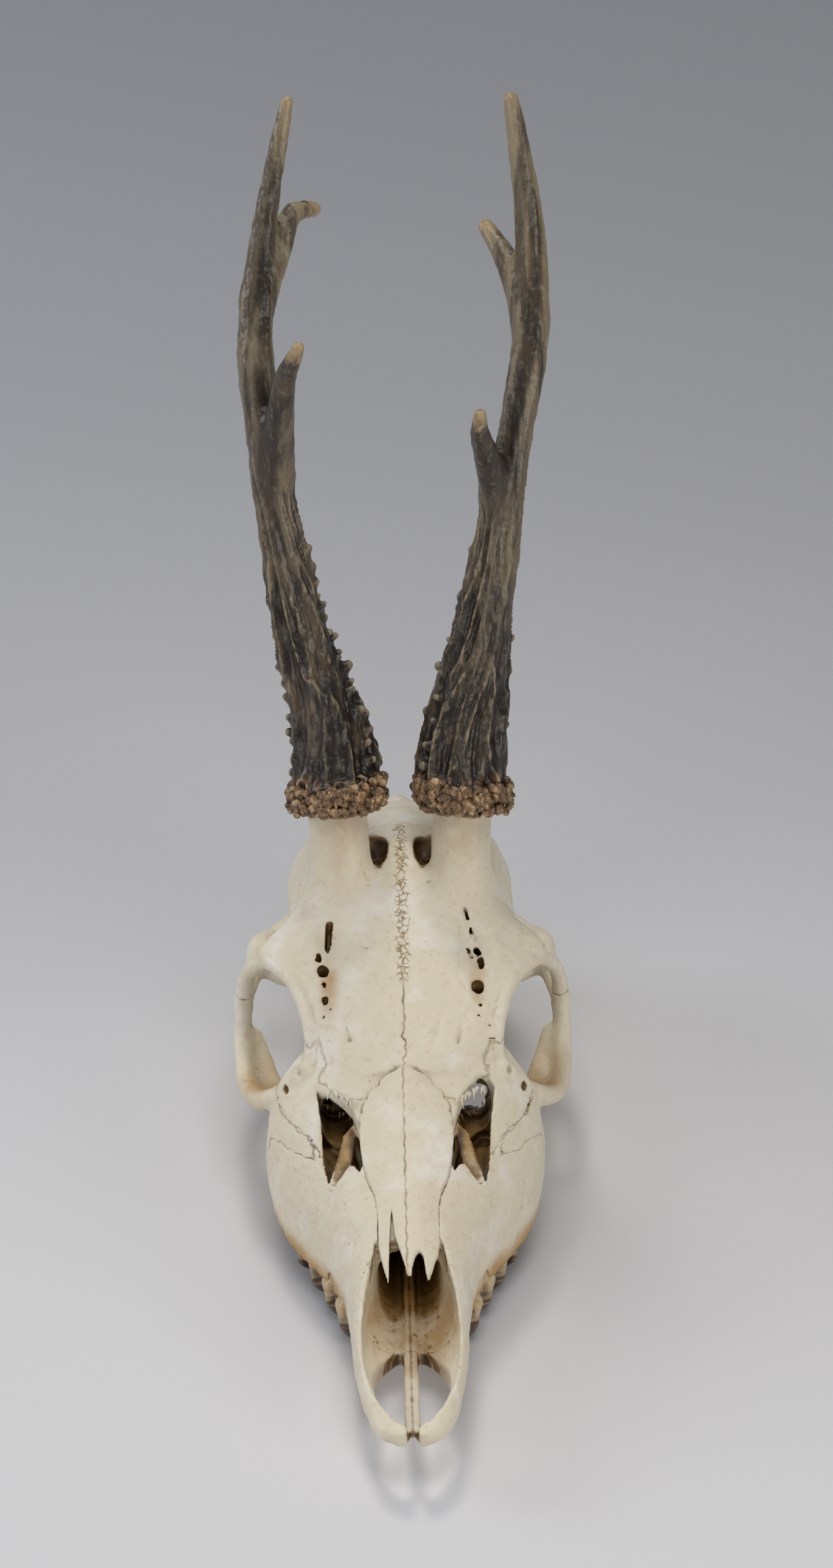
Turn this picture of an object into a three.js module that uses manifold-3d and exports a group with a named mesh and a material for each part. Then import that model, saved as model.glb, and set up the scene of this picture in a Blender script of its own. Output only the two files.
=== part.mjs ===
// The skull of a roe deer buck with its antlers, without the lower jaw, in millimetres.
//
// It is drawn in the frame of its own palate: X across the head, Y back from the tip of the
// upper jaw, Z up from the chewing plane of the teeth. The last step tips it to the way it
// rests on a table: on its rear teeth and on the two processes beside the occipital condyles.

import * as THREE from 'three';
import { LoftGeometry } from 'three/addons/geometries/LoftGeometry.js';
import { mergeVertices } from 'three/addons/utils/BufferGeometryUtils.js';
import Module from 'manifold-3d';

const wasm = await Module();
wasm.setup();

// ---- driving dimensions ----

const SKULL_LENGTH = 196;       // tip of the upper jaw to the nuchal crest
const BRAINCASE_HALF = 28.5;    // half the width of the braincase
const FOREHEAD_HALF = 25.6;     // half the narrowest width behind the eye sockets
const ORBIT_HALF = 40;          // from the middle to the centre line of the socket's outer rim
const RIM_RADIUS = 2.3;         // thickness of that rim, as a radius
const ORBIT_BACK = 122;         // the socket's centre along the skull
const ORBIT_UP = 44;            // and above the chewing plane
const NASAL_TIP = 41.4;         // where the nasal bones start
const NASAL_END = 95.5;         // and where they meet the forehead
const NASAL_THICK = 2.6;
const TOOTH_START = 53;         // front of the first premolar
const TOOTH_LENGTHS = [8.5, 9, 8.7, 10.2, 11.6, 11];
const TOOTH_WIDTHS = [7.5, 9, 10.5, 12, 12.5, 11.5];
const ALVEOLAR_UP = 9;          // where the teeth leave the jaw
const PEDICLE_RADIUS = 7.4;
const PEDICLE_BACK = 147;       // foot of the pedicle along the skull
const ANTLER_FOOT = new THREE.Vector3(15.4, 150, 88);
const ANTLER_LEAN = 68;         // degrees the antlers rise above straight back
const ANTLER_LENGTH = 180;
const BURR_RADIUS = 13.4;
const BURR_LOW = 2;             // the burr's height along the antler
const BURR_HIGH = 10.5;
const GAP = 0.3;                // between neighbouring pieces
const REST_BACK = 105;          // the rear teeth that carry the skull
const REST_TILT = 3.1;          // degrees the nose is lifted when it rests
const REST_SKIM = 0.7;          // depth of the flats it rests on
const WIDE = 70;                // reaches past the head on either side
const BONE = new THREE.Color(0.88, 0.83, 0.72);
const HORN = new THREE.Color(0.31, 0.24, 0.18);

// ---- curves and solids ----

const point = (x, y, z) => new THREE.Vector3(x, y, z);

// A smooth curve through a few knots [at, value], level beyond its ends.
function through(...knots) {
  const last = knots.length - 1;
  const slope = (i) => {
    const a = knots[Math.max(i - 1, 0)];
    const b = knots[Math.min(i + 1, last)];
    return (b[1] - a[1]) / (b[0] - a[0]);
  };
  return (at) => {
    if (at <= knots[0][0]) return knots[0][1];
    if (at >= knots[last][0]) return knots[last][1];
    const i = knots.findIndex((knot) => knot[0] > at) - 1;
    const span = knots[i + 1][0] - knots[i][0];
    const t = (at - knots[i][0]) / span;
    const t2 = t * t;
    const t3 = t2 * t;
    return (2 * t3 - 3 * t2 + 1) * knots[i][1] + (t3 - 2 * t2 + t) * span * slope(i)
      + (3 * t2 - 2 * t3) * knots[i + 1][1] + (t3 - t2) * span * slope(i + 1);
  };
}

// A closed three.js geometry as a solid that can be joined and cut.
function solid(geometry) {
  const bare = new THREE.BufferGeometry();
  bare.setAttribute('position', geometry.getAttribute('position').clone());
  if (geometry.index) bare.setIndex(geometry.index.clone());
  const merged = mergeVertices(bare, 1e-4);
  const mesh = new wasm.Mesh({
    numProp: 3,
    vertProperties: new Float32Array(merged.getAttribute('position').array),
    triVerts: new Uint32Array(merged.index.array),
  });
  return new wasm.Manifold(mesh);
}

// A closed body through a row of rings, wound so that its faces point out.
function skinned(rings) {
  const [first, second] = rings;
  const centre = (ring) => ring.reduce((sum, next) => sum.add(next), point(0, 0, 0))
    .divideScalar(ring.length);
  const middle = centre(first);
  const along = centre(second).sub(middle);
  let turn = 0;
  first.forEach((corner, i) => {
    const next = first[(i + 1) % first.length].clone().sub(middle);
    turn += corner.clone().sub(middle).cross(next).dot(along);
  });
  const wound = turn > 0 ? rings : rings.map((ring) => ring.slice().reverse());
  return solid(new LoftGeometry(wound, { capStart: true, capEnd: true }));
}

// A cross-section of the head at one place along it. Its upper and lower halves may bulge
// differently: bulge 2 is round, more is boxier, less is leaner.
function crossSection({ y, x = 0, half, wide, top, bottom, upBulge = 2, downBulge = 2, count = 16 }) {
  const points = [];
  for (let i = 0; i < count; i += 1) {
    const angle = (i / count) * 2 * Math.PI;
    const c = Math.cos(angle);
    const s = Math.sin(angle);
    const bulge = s > 0 ? upBulge : downBulge;
    const across = Math.sign(c) * Math.abs(c) ** (2 / bulge) * half;
    const up = Math.sign(s) * Math.abs(s) ** (2 / bulge) * (s > 0 ? top - wide : wide - bottom);
    points.push(new THREE.Vector3(x + across, y, wide + up));
  }
  return points;
}

// A body lofted along the head, its sections made by a function of the place along it.
function lofted(from, to, steps, section) {
  const rings = [];
  for (let i = 0; i <= steps; i += 1) {
    rings.push(section(from + ((to - from) * i) / steps));
  }
  return skinned(rings);
}

// A rounded bar along a path of points, with its radius as a function of the share covered.
function bar(points, radius, { steps = 6, sides = 7, flatten = 1 } = {}) {
  const path = new THREE.CatmullRomCurve3(points);
  const frames = path.computeFrenetFrames(steps, false);
  const rings = [];
  for (let i = 0; i <= steps; i += 1) {
    const centre = path.getPointAt(i / steps);
    const size = radius(i / steps);
    const ring = [];
    for (let j = 0; j < sides; j += 1) {
      const angle = (j / sides) * 2 * Math.PI;
      ring.push(centre.clone()
        .addScaledVector(frames.normals[i], Math.cos(angle) * size)
        .addScaledVector(frames.binormals[i], Math.sin(angle) * size * flatten));
    }
    rings.push(ring);
  }
  return skinned(rings);
}

function egg(x, y, z, halfX, halfY, halfZ) {
  const geometry = new THREE.SphereGeometry(1, 8, 5);
  geometry.scale(halfX, halfY, halfZ);
  geometry.translate(x, y, z);
  return solid(geometry);
}

// A side-view outline of [y, z] corners, pushed through the head from one x to another.
function block(outline, fromX = -WIDE, toX = WIDE) {
  const shape = new THREE.Shape(outline.map(([y, z]) => new THREE.Vector2(y, z)));
  const geometry = new THREE.ExtrudeGeometry(shape, { depth: toX - fromX, bevelEnabled: false });
  geometry.applyMatrix4(new THREE.Matrix4().makeBasis(
    new THREE.Vector3(0, 1, 0), new THREE.Vector3(0, 0, 1), new THREE.Vector3(1, 0, 0)));
  geometry.translate(fromX, 0, 0);
  return solid(geometry);
}

function joined(...solids) {
  return solids.reduce((whole, next) => whole.add(next));
}

const SIDES = [['left', -1], ['right', 1]];

// ---- the lines that shape the head ----

const topLine = through([3, 11], [44, 29.5], [94, 50.5], [112, 59], [128, 67.5], [145, 77], [158, 79.5],
  [172, 75.6], [186, 66], [SKULL_LENGTH, 59]);
const faceHalf = through([3.2, 4], [6, 8.5], [12, 11.3], [32, 13.9], [52, 15.8], [64, 21.2], [80, 30],
  [92, 33.4], [104, 34], [113, 29], [121, 17]);
const faceTop = through([0, 11], [8, 13], [30, 25], [50, 33], [72, 40], [94, 49], [110, 56], [121, 52]);
const faceWide = through([0, 9], [40, 10], [56, 14], [80, 15], [104, 23], [121, 26]);
const faceBottom = through([0, 7.8], [6, 7.2], [12, 5.8], [46, 6], [54, 8], [108, 8], [116, 10], [121, 18]);
const nasalHalf = through([NASAL_TIP, 5.2], [50, 7.3], [62, 7.6], [70, 10.2], [80, 11.4], [88, 10], [94, 5],
  [NASAL_END, 2.5]);
const apertureHalf = through([5.5, 1.2], [8, 4.6], [12, 8.6], [18, 11.2], [28, 12], [40, 10.8], [52, 8],
  [70, 7.4], [84, 6]);
const foreheadHalf = through([95, 14], [103, 21.5], [112, 24.5], [120, 29], [127, 34], [131, 35.5], [137, 30],
  [143, 26], [152, FOREHEAD_HALF]);
const foreheadEdge = through([95, 42], [103, 48], [112, 54.5], [120, 59.5], [131, 60], [142, 62], [152, 62]);
const brainHalf = through([122, 11], [132, 16.5], [142, 25], [152, 27.8], [168, BRAINCASE_HALF], [184, 28],
  [191, 25], [197, 15]);
const brainBottom = through([122, 27], [150, 22], [170, 19.5], [197, 19.5]);
const brainTop = through([122, 52], [134, 66], [145, 76.5], [158, 79.5], [172, 75.6], [186, 66], [194, 61],
  [197, 56]);
const brainWide = through([122, 42], [145, 52], [170, 50], [197, 40]);

// ---- bodies of the head ----

function face() {
  return lofted(3.2, 121, 13, (y) => crossSection({
    y, half: faceHalf(y), wide: faceWide(y), top: faceTop(y), bottom: faceBottom(y),
    upBulge: y < 50 ? 3 : 2.5, downBulge: y < 50 ? 3 : 2.6,
  }));
}

function forehead() {
  return lofted(95, 152, 9, (y) => crossSection({
    y, half: foreheadHalf(y), wide: foreheadEdge(y), top: topLine(y), bottom: foreheadEdge(y) - 20,
    upBulge: 2.4, downBulge: 1.0,
  }));
}

function braincase() {
  return lofted(122, 197, 9, (y) => crossSection({
    y, half: brainHalf(y), wide: brainWide(y), top: brainTop(y), bottom: brainBottom(y), downBulge: 2.2,
  }));
}

// The occiput's condyles, the processes beside them, the ear capsules and the bar below the brain.
function base() {
  const parts = [block([[140, 21], [194, 19], [194, 30], [140, 32]], -8, 8)];
  for (const [, side] of SIDES) {
    parts.push(egg(side * 10, 197, 26, 7.5, 6, 8));
    parts.push(bar([point(side * 22, 189, 34), point(side * 22.5, 187, 18), point(side * 20.5, 182.5, 3)],
      (share) => 5.4 - 2.6 * share, { steps: 5, flatten: 0.7 }));
    parts.push(egg(side * 14.5, 168, 18, 6, 9, 7.5));
  }
  return joined(...parts);
}

// The plates that hang behind the palate on either side of the choanae.
function palatinePlates() {
  const outline = [[108, 11], [126, 12], [137, 12], [141, 8], [142.5, 12], [146, 30], [108, 30]];
  return joined(...SIDES.map(([, side]) => block(outline, side * 8 - 1.2, side * 8 + 1.2)));
}

// The outer rim of the eye socket, from the lacrimal bone over, behind and below the eye.
function orbitRim(side) {
  const at = (x, y, z) => point(side * x, y, z);
  const over = [at(24.5, 100.5, 45.5), at(23.5, 106, 51), at(24.6, 113, 56.4), at(28, 121, 59.6),
    at(33.5, 129, 59), at(ORBIT_HALF - 1.4, 136, 51), at(ORBIT_HALF - 0.2, 137.5, 40)];
  const under = [at(24.5, 101.5, 46), at(27.5, 102.5, 41), at(31.5, 105, 35), at(36.5, 110.5, 31),
    at(ORBIT_HALF - 0.6, 121, 29), at(ORBIT_HALF, 133, 33), at(ORBIT_HALF - 0.2, 138, 42)];
  const shelf = [at(30, 106.5, 35.5), at(31.5, 112, 30.5), at(34, 121, 27.8), at(36, 130, 30), at(38, 136, 37)];
  return joined(bar(over, (share) => RIM_RADIUS - 0.7 * (1 - share), { steps: 8, sides: 6 }),
    bar(under, () => RIM_RADIUS, { steps: 8, sides: 6 }), bar(shelf, () => RIM_RADIUS, { steps: 4, sides: 6 }));
}

// The bar that runs back from below the eye to the side of the braincase.
function cheekArch(side) {
  const path = [point(side * 40, 132, 31), point(side * 40.5, 144, 30.5), point(side * 38.5, 157, 33.5),
    point(side * 34, 167, 37.5), point(side * 25, 174, 40)];
  return bar(path, (share) => 2.4 + 1.4 * share * share, { sides: 6, flatten: 1.2 });
}

// One upper tooth with one or two pairs of cusps; its outer wall stands on the jaw's outer edge.
function tooth(side, index) {
  const start = TOOTH_LENGTHS.slice(0, index).reduce((sum, length) => sum + length, TOOTH_START);
  const length = TOOTH_LENGTHS[index];
  const width = TOOTH_WIDTHS[index];
  const outer = through([53, 15], [66, 20], [82, 26.2], [96, 28.2], [113, 26.5])(start + length / 2);
  const x = side * (outer - width / 2);
  const lobes = index < 3 ? 1 : 2;
  const parts = [];
  for (let lobe = 0; lobe < lobes; lobe += 1) {
    const lobeLength = length / lobes;
    const middle = start + lobeLength * (lobe + 0.5);
    const ring = (z, grow) => [0, 1, 2, 3, 4, 5].map((corner) => {
      const angle = corner * (Math.PI / 3);
      return point(x + Math.cos(angle) * (width / 2) * grow * 1.08, middle
        + Math.sin(angle) * (lobeLength / 2) * grow * 1.08, z);
    });
    parts.push(skinned([ring(ALVEOLAR_UP + 4, 0.9), ring(2.5, 1), ring(0, 0.6)]));
  }
  return joined(...parts);
}

function pedicle(side) {
  const path = [point(side * 14, PEDICLE_BACK - 3, 62), point(side * 14.6, PEDICLE_BACK, 74),
    alongAntler(side, BURR_LOW + 1)];
  return bar(path, (share) => PEDICLE_RADIUS + 1.8 * (1 - share) ** 2, { steps: 4, sides: 10 });
}

// ---- hollows ----

// The opening of the nose, a trough between the upper jaw's two rods that runs in under the nasals.
function noseOpening() {
  return lofted(5.5, 84, 9, (y) => crossSection({
    y, half: apertureHalf(y), wide: y < 52 ? 22 : 20, bottom: y < 40 ? 9.2 : 11.5,
    top: y < 52 ? 60 : topLine(y) - NASAL_THICK - 2, upBulge: y < 52 ? 8 : 2.4, downBulge: 3, count: 12,
  }));
}

// The two long slots through the palate behind the front of the upper jaw.
function palateSlot(side) {
  return lofted(8, 36, 6, (y) => {
    const swell = Math.sin((Math.PI * (y - 7)) / 30);
    return crossSection({
      y, x: side * (2.5 + 3.5 * swell), wide: 8, top: 16, bottom: 0, half: 0.5 + 3.2 * swell,
      upBulge: 4, downBulge: 4, count: 8,
    });
  });
}

// The socket of the eye, and the space behind it that leads under the cheek arch.
function orbitHollow(side) {
  return joined(egg(side * 38, ORBIT_BACK + 1, ORBIT_UP - 1, 25, 17.5, 16),
    egg(side * 36, ORBIT_BACK + 14, ORBIT_UP - 6, 18, 16, 15));
}

// The gap in front of the socket between the nasal, frontal, lacrimal and upper jaw bones.
function faceGap(side) {
  const corners = [[11.2, 75], [17.4, 73], [20.4, 80], [21.9, 95.6], [18, 95.8], [12.6, 90]];
  const shape = new THREE.Shape(corners.map(([x, y]) => new THREE.Vector2(side * x, y)));
  const geometry = new THREE.ExtrudeGeometry(shape, { depth: 40, bevelEnabled: false });
  geometry.translate(0, 0, 26);
  return solid(geometry);
}

function foramenMagnum() {
  return egg(0, 203, 33.5, 8.5, 16, 8);
}

// Everything below the table once the head is tipped to rest.
function tableCut() {
  const slope = Math.tan(THREE.MathUtils.degToRad(REST_TILT));
  const height = (y) => REST_SKIM + (y - REST_BACK) * slope;
  return block([[-20, height(-20)], [240, height(240)], [240, -60], [-20, -60]]);
}

// ---- nasal bones ----

// A thin arched plate over the nose, lower at its edges than along its middle.
function nasalPlate(grow) {
  const rings = [];
  const steps = 10;
  const count = 6;
  for (let i = 0; i <= steps; i += 1) {
    const past = { 0: -grow, [steps]: grow }[i] ?? 0;
    const y = NASAL_TIP + ((NASAL_END - NASAL_TIP) * i) / steps + past;
    const half = nasalHalf(y) + grow;
    const fall = 2.1 * (half / nasalHalf(y)) ** 2;
    const surface = (share, thick) => point(share * half, y, topLine(y) + 1 - fall * share * share - thick);
    const ring = [];
    for (let j = 0; j <= count; j += 1) ring.push(surface(1 - (2 * j) / count, -grow * 4));
    for (let j = 0; j <= count; j += 1) ring.push(surface((2 * j) / count - 1, NASAL_THICK + grow));
    rings.push(ring);
  }
  return skinned(rings);
}

// The notch between the inner and the outer prong of a nasal bone's tip: a slit on the left bone, and
// shorter and rounder on the right one.
function tipNotch(side) {
  const corners = side < 0 ? [[-0.9, 40], [-5.2, 40], [-4.9, 44], [-4.1, 59]]
    : [[0.7, 40], [4.2, 40], [3.9, 44], [2.6, 48], [1.6, 46.6]];
  const shape = new THREE.Shape(corners.map(([x, y]) => new THREE.Vector2(x, y)));
  const geometry = new THREE.ExtrudeGeometry(shape, { depth: 60, bevelEnabled: false });
  return solid(geometry);
}

// ---- antlers ----

const LEAN = THREE.MathUtils.degToRad(ANTLER_LEAN);

// How far each antler stands from the middle, and how far it sways back, by height along it.
const REACH = {
  left: through([0, 15.6], [20, 16.6], [50, 24.2], [83, 30.2], [113, 33.8], [128, 33.5], [150, 30.8],
    [ANTLER_LENGTH, 24.8]),
  right: through([0, 15.6], [20, 15.8], [50, 21.6], [83, 26.8], [113, 32.6], [130, 33.9], [150, 33.2],
    [ANTLER_LENGTH, 28.9]),
};
const sway = through([0, 0], [45, 2], [95, -2.5], [140, 3], [ANTLER_LENGTH, 1]);
const beamRadius = through([8, 8.6], [22, 8.4], [38, 7], [53, 6.1], [70, 5.3], [95, 4.2], [112, 4.2],
  [128, 3.75], [143, 3.05], [158, 2.4], [173, 1.8], [ANTLER_LENGTH, 1.2]);

function alongAntler(side, height) {
  const reach = side < 0 ? REACH.left : REACH.right;
  const forward = sway(height);
  return point(side * reach(height),
    ANTLER_FOOT.y + height * Math.cos(LEAN) + forward * Math.sin(LEAN),
    ANTLER_FOOT.z + height * Math.sin(LEAN) - forward * Math.cos(LEAN));
}

// The whole beam from burr to tip, or the same a little larger, to hold a neighbour off it.
function beam(side, grow = 0) {
  const points = [];
  const from = BURR_HIGH - 1;
  for (let i = 0; i <= 20; i += 1) points.push(alongAntler(side, from + ((ANTLER_LENGTH - from) * i) / 20));
  const size = (share) => beamRadius(from + (ANTLER_LENGTH - from) * share) + grow;
  return bar(points, size, { steps: 14, sides: 8 });
}

// The slice of space between two heights along an antler.
function stretch(side, from, to) {
  const across = point(0, Math.sin(LEAN), -Math.cos(LEAN)).multiplyScalar(60);
  const low = alongAntler(side, from);
  const high = alongAntler(side, to);
  const corners = [low.clone().sub(across), low.clone().add(across), high.clone().add(across),
    high.clone().sub(across)];
  return block(corners.map(({ y, z }) => [y, z]));
}

// The knobbly ring at the foot of the antler.
function burr(side, grow = 0) {
  const rings = [[BURR_LOW - grow, 0.74], [BURR_LOW + 1.2, 0.97], [BURR_LOW + 3.4, 1],
    [BURR_HIGH - 0.8, 0.86], [BURR_HIGH + grow, 0.66]];
  const foot = alongAntler(side, 0);
  const axis = alongAntler(side, BURR_HIGH).sub(foot).normalize();
  const across = point(1, 0, 0).addScaledVector(axis, -axis.x).normalize();
  const back = axis.clone().cross(across);
  const sections = rings.map(([height, share]) => {
    const centre = foot.clone().addScaledVector(axis, height);
    const ring = [];
    for (let i = 0; i < 12; i += 1) {
      const angle = (i / 12) * 2 * Math.PI;
      const nodule = 1 + 0.04 * Math.cos(angle * 6);
      const size = BURR_RADIUS * share * nodule + grow;
      ring.push(centre.clone().addScaledVector(across, Math.cos(angle) * size)
        .addScaledVector(back, Math.sin(angle) * size * 0.96));
    }
    return ring;
  });
  return skinned(sections);
}

const TINE_TIP_RADIUS = 1.4;

// A tine leaves the beam at a height and follows its bends to its tip.
function tine(side, { height, bends, radius }) {
  const path = [alongAntler(side, height - 3), ...bends.map((bend) => point(...bend))];
  const size = (share) => (radius - TINE_TIP_RADIUS) * (1 - share) ** 0.8 + TINE_TIP_RADIUS;
  return bar(path, size, { steps: 6, sides: 6 });
}

const FORKS = {
  left: {
    front: { height: 90, bends: [[-27, 178, 196], [-23.2, 173, 209]], radius: 4.5 },
    rear: { height: 132, bends: [[-27.5, 209, 217], [-24.5, 214, 223.5], [-19.3, 219, 222]], radius: 3.7 },
  },
  right: {
    front: { height: 84, bends: [[22.5, 175, 176], [20.4, 170, 186], [20.3, 167, 193]], radius: 4.2 },
    rear: { height: 126, bends: [[28, 208, 213], [23.2, 217, 217.5]], radius: 3.8 },
  },
};

// ---- the pieces ----

const head = new THREE.Group();
const boneLook = new THREE.MeshStandardMaterial({ color: BONE, roughness: 0.6, metalness: 0 });
const hornLook = new THREE.MeshStandardMaterial({ color: HORN, roughness: 0.65, metalness: 0 });

function addPiece(name, body, material) {
  const mesh = body.getMesh();
  const geometry = new THREE.BufferGeometry();
  geometry.setAttribute('position', new THREE.BufferAttribute(new Float32Array(mesh.vertProperties), 3));
  geometry.setIndex(new THREE.BufferAttribute(new Uint32Array(mesh.triVerts), 1));
  geometry.computeVertexNormals();
  const piece = new THREE.Mesh(geometry, material);
  piece.name = name;
  head.add(piece);
}

// The piece of a body inside an outline, held back from the cut by the gap, and what is left over.
function carve(whole, outline, fromX, toX) {
  const centre = outline.reduce(([a, b], [y, z]) => [a + y / outline.length, b + z / outline.length], [0, 0]);
  const inner = outline.map(([y, z]) => {
    const reach = Math.hypot(y - centre[0], z - centre[1]);
    const scale = 1 - (GAP * 1.5) / reach;
    return [centre[0] + (y - centre[0]) * scale, centre[1] + (z - centre[1]) * scale];
  });
  const insideX = GAP * 0.5;
  const piece = whole.intersect(block(inner, fromX + insideX, toX - insideX));
  return [largest(piece), whole.subtract(block(outline, fromX, toX))];
}

function largest(body) {
  return body.decompose().reduce((best, next) => (next.volume() > best.volume() ? next : best));
}

function buildSkull() {
  let whole = joined(face(), forehead(), braincase(), base(), palatinePlates());
  whole = whole.subtract(joined(noseOpening(), foramenMagnum()));
  for (const [, side] of SIDES) {
    whole = whole.subtract(joined(orbitHollow(side), palateSlot(side), faceGap(side)));
  }
  for (const [, side] of SIDES) {
    whole = joined(whole, orbitRim(side), cheekArch(side), pedicle(side));
    for (let index = 0; index < TOOTH_LENGTHS.length; index += 1) whole = whole.add(tooth(side, index));
  }
  whole = whole.subtract(joined(nasalPlate(GAP * 2), tableCut(), burr(-1, GAP), burr(1, GAP)));

  const outlines = {
    premaxilla: [[-5, -5], [33, -5], [34, 6], [38, 16], [44.5, 26.5], [51, 34], [51, 44], [-5, 44]],
    lacrimal: [[86, 39], [95, 37.6], [101, 37.5], [107, 41], [108, 48], [106, 52.5], [102, 54], [93, 52]],
    jugal: [[86, 34], [97, 29], [98, 22], [101, 15.5], [118, 12], [147, 20], [149, 38], [147, 43], [131, 44],
      [115, 40], [108, 41], [101, 37.4], [95, 36.7], [86, 37.3]],
    maxilla: [[30, -5], [123, -5], [123, 13], [121, 27], [104, 40], [90, 42], [88, 60], [30, 60]],
    frontal: [[60, 90], [84, 30], [104, 36], [128, 40], [135, 43], [147, 46], [156, 62], [163, 82], [170, 110],
      [60, 110]],
  };
  for (const [name, outline] of Object.entries(outlines)) {
    const inset = { lacrimal: 21, jugal: 24 }[name] ?? 0;
    for (const [label, side] of SIDES) {
      const [fromX, toX] = side < 0 ? [-WIDE, -inset] : [inset, WIDE];
      const [piece, rest] = carve(whole, outline, fromX, toX);
      addPiece(`${name}_${label}`, piece, boneLook);
      whole = rest;
    }
  }
  addPiece('braincase', largest(whole), boneLook);

  const plate = nasalPlate(0).subtract(joined(tipNotch(-1), tipNotch(1)));
  for (const [label, side] of SIDES) {
    const half = block([[0, 0], [120, 0], [120, 120], [0, 120]], side < 0 ? -WIDE : GAP / 2,
      side < 0 ? -GAP / 2 : WIDE);
    addPiece(`nasal_${label}`, largest(plate.intersect(half)), boneLook);
  }
}

function buildAntler(label, side) {
  const fork = FORKS[label];
  addPiece(`antler_${label}_burr`, burr(side), hornLook);
  const whole = beam(side).subtract(burr(side, GAP));
  const cuts = [0, fork.front.height + 2, fork.rear.height + 3, ANTLER_LENGTH + 20];
  ['beam_lower', 'beam_middle', 'beam_top'].forEach((name, i) => {
    const piece = whole.intersect(stretch(side, cuts[i] + GAP / 2, cuts[i + 1] - GAP / 2));
    addPiece(`antler_${label}_${name}`, largest(piece), hornLook);
  });
  const clear = beam(side, GAP);
  for (const [name, tineLine] of [['tine_front', fork.front], ['tine_rear', fork.rear]]) {
    addPiece(`antler_${label}_${name}`, largest(tine(side, tineLine).subtract(clear)), hornLook);
  }
}

buildSkull();
for (const [label, side] of SIDES) buildAntler(label, side);

// Tip the head onto its resting flats, and stand the middle of its box over the origin.
head.rotation.x = -THREE.MathUtils.degToRad(REST_TILT);
const skull = new THREE.Group();
skull.add(head);
skull.updateMatrixWorld(true);
const reach = new THREE.Box3().setFromObject(skull, true);
skull.position.set(-(reach.min.x + reach.max.x) / 2, -(reach.min.y + reach.max.y) / 2, -reach.min.z);
skull.updateMatrixWorld(true);

export default skull;
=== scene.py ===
# %% [markdown]
# # The skull of a roe deer buck
#
# This notebook builds the looks of a life-size museum model: a roe deer's skull with its antlers and
# without its lower jaw. Bone has no straight edges and no flat faces, so pushing boxes and cylinders
# about would never look right. Most of the skull is therefore shaped as "clay": a block of space in
# which every small cube knows how far it is from the surface. Two lumps of clay flow into each other
# when their distances are blended, and a hollow is a lump taken away.
#
# We start by loading the fixed frame that the finished pieces have to sit in.

# %% The frame
import math
from collections import namedtuple

import bpy
import numpy as np
from mathutils import Matrix, Vector


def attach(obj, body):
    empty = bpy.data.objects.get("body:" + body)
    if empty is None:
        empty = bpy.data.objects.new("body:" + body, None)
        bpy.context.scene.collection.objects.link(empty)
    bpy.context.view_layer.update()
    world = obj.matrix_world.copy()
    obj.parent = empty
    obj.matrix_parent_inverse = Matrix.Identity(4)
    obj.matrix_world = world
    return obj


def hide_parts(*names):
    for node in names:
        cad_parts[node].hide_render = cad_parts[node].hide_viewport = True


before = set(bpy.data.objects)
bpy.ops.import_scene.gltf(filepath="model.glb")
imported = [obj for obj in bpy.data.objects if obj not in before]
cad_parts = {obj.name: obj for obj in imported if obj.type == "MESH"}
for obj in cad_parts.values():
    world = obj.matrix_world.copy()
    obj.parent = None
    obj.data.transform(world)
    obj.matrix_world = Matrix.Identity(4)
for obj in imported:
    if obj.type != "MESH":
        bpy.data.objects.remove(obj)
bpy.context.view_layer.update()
bpy.context.scene.view_settings.view_transform = "Standard"   # keeps the cream of the bone

# %% [markdown]
# ## Two frames
#
# A skull is easiest to describe from its own palate: X across the head, Y back from the tip of the
# upper jaw and Z up from the chewing plane of the teeth, all in millimetres. On a table it lies tipped
# a little, on its rear teeth and on two processes beside the neck joint. One function turns points of
# the first frame into metres of the second.

# %% From the palate to the table
REST_TILT = math.radians(3.1)
REST_SHIFT = np.array([0.0, -118.26, 4.979])


def turned(points):
    """Directions of the skull's own frame as they point when it lies on the table."""
    c, s = math.cos(REST_TILT), math.sin(REST_TILT)
    x, y, z = np.atleast_2d(points).T
    return np.stack([x, y * c + z * s, z * c - y * s], axis=1)


def placed(points):
    """Points of the skull's own frame, in mm, as they lie on the table, in metres."""
    return (turned(points) + REST_SHIFT) / 1000


print("tip of the upper jaw on the table:", placed([0, 3.2, 8]).round(4))

# %% [markdown]
# ## Camera
#
# The viewer stands well back and looks down on the forehead, so that the face is foreshortened and the
# antlers rise up the frame. A long lens keeps the skull's proportions honest.

# %% Camera
FRAME_HEIGHT = 2576           # pixels
SENSOR = 36.0                 # mm, along the frame's longer side
FOCAL_PIXELS = 9859.0
VIEW_DISTANCE = 1500.0        # mm
VIEW_DOWN = math.radians(33.5)   # above the palate's plane
VIEW_YAW = math.radians(-0.8826)
VIEW_ROLL = math.radians(-0.4009)
VIEW_TARGET = np.array([0.0, 162.0, 90.0])
VIEW_ASIDE = 4.28             # mm, the skull stands this far left of the frame's middle


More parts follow.
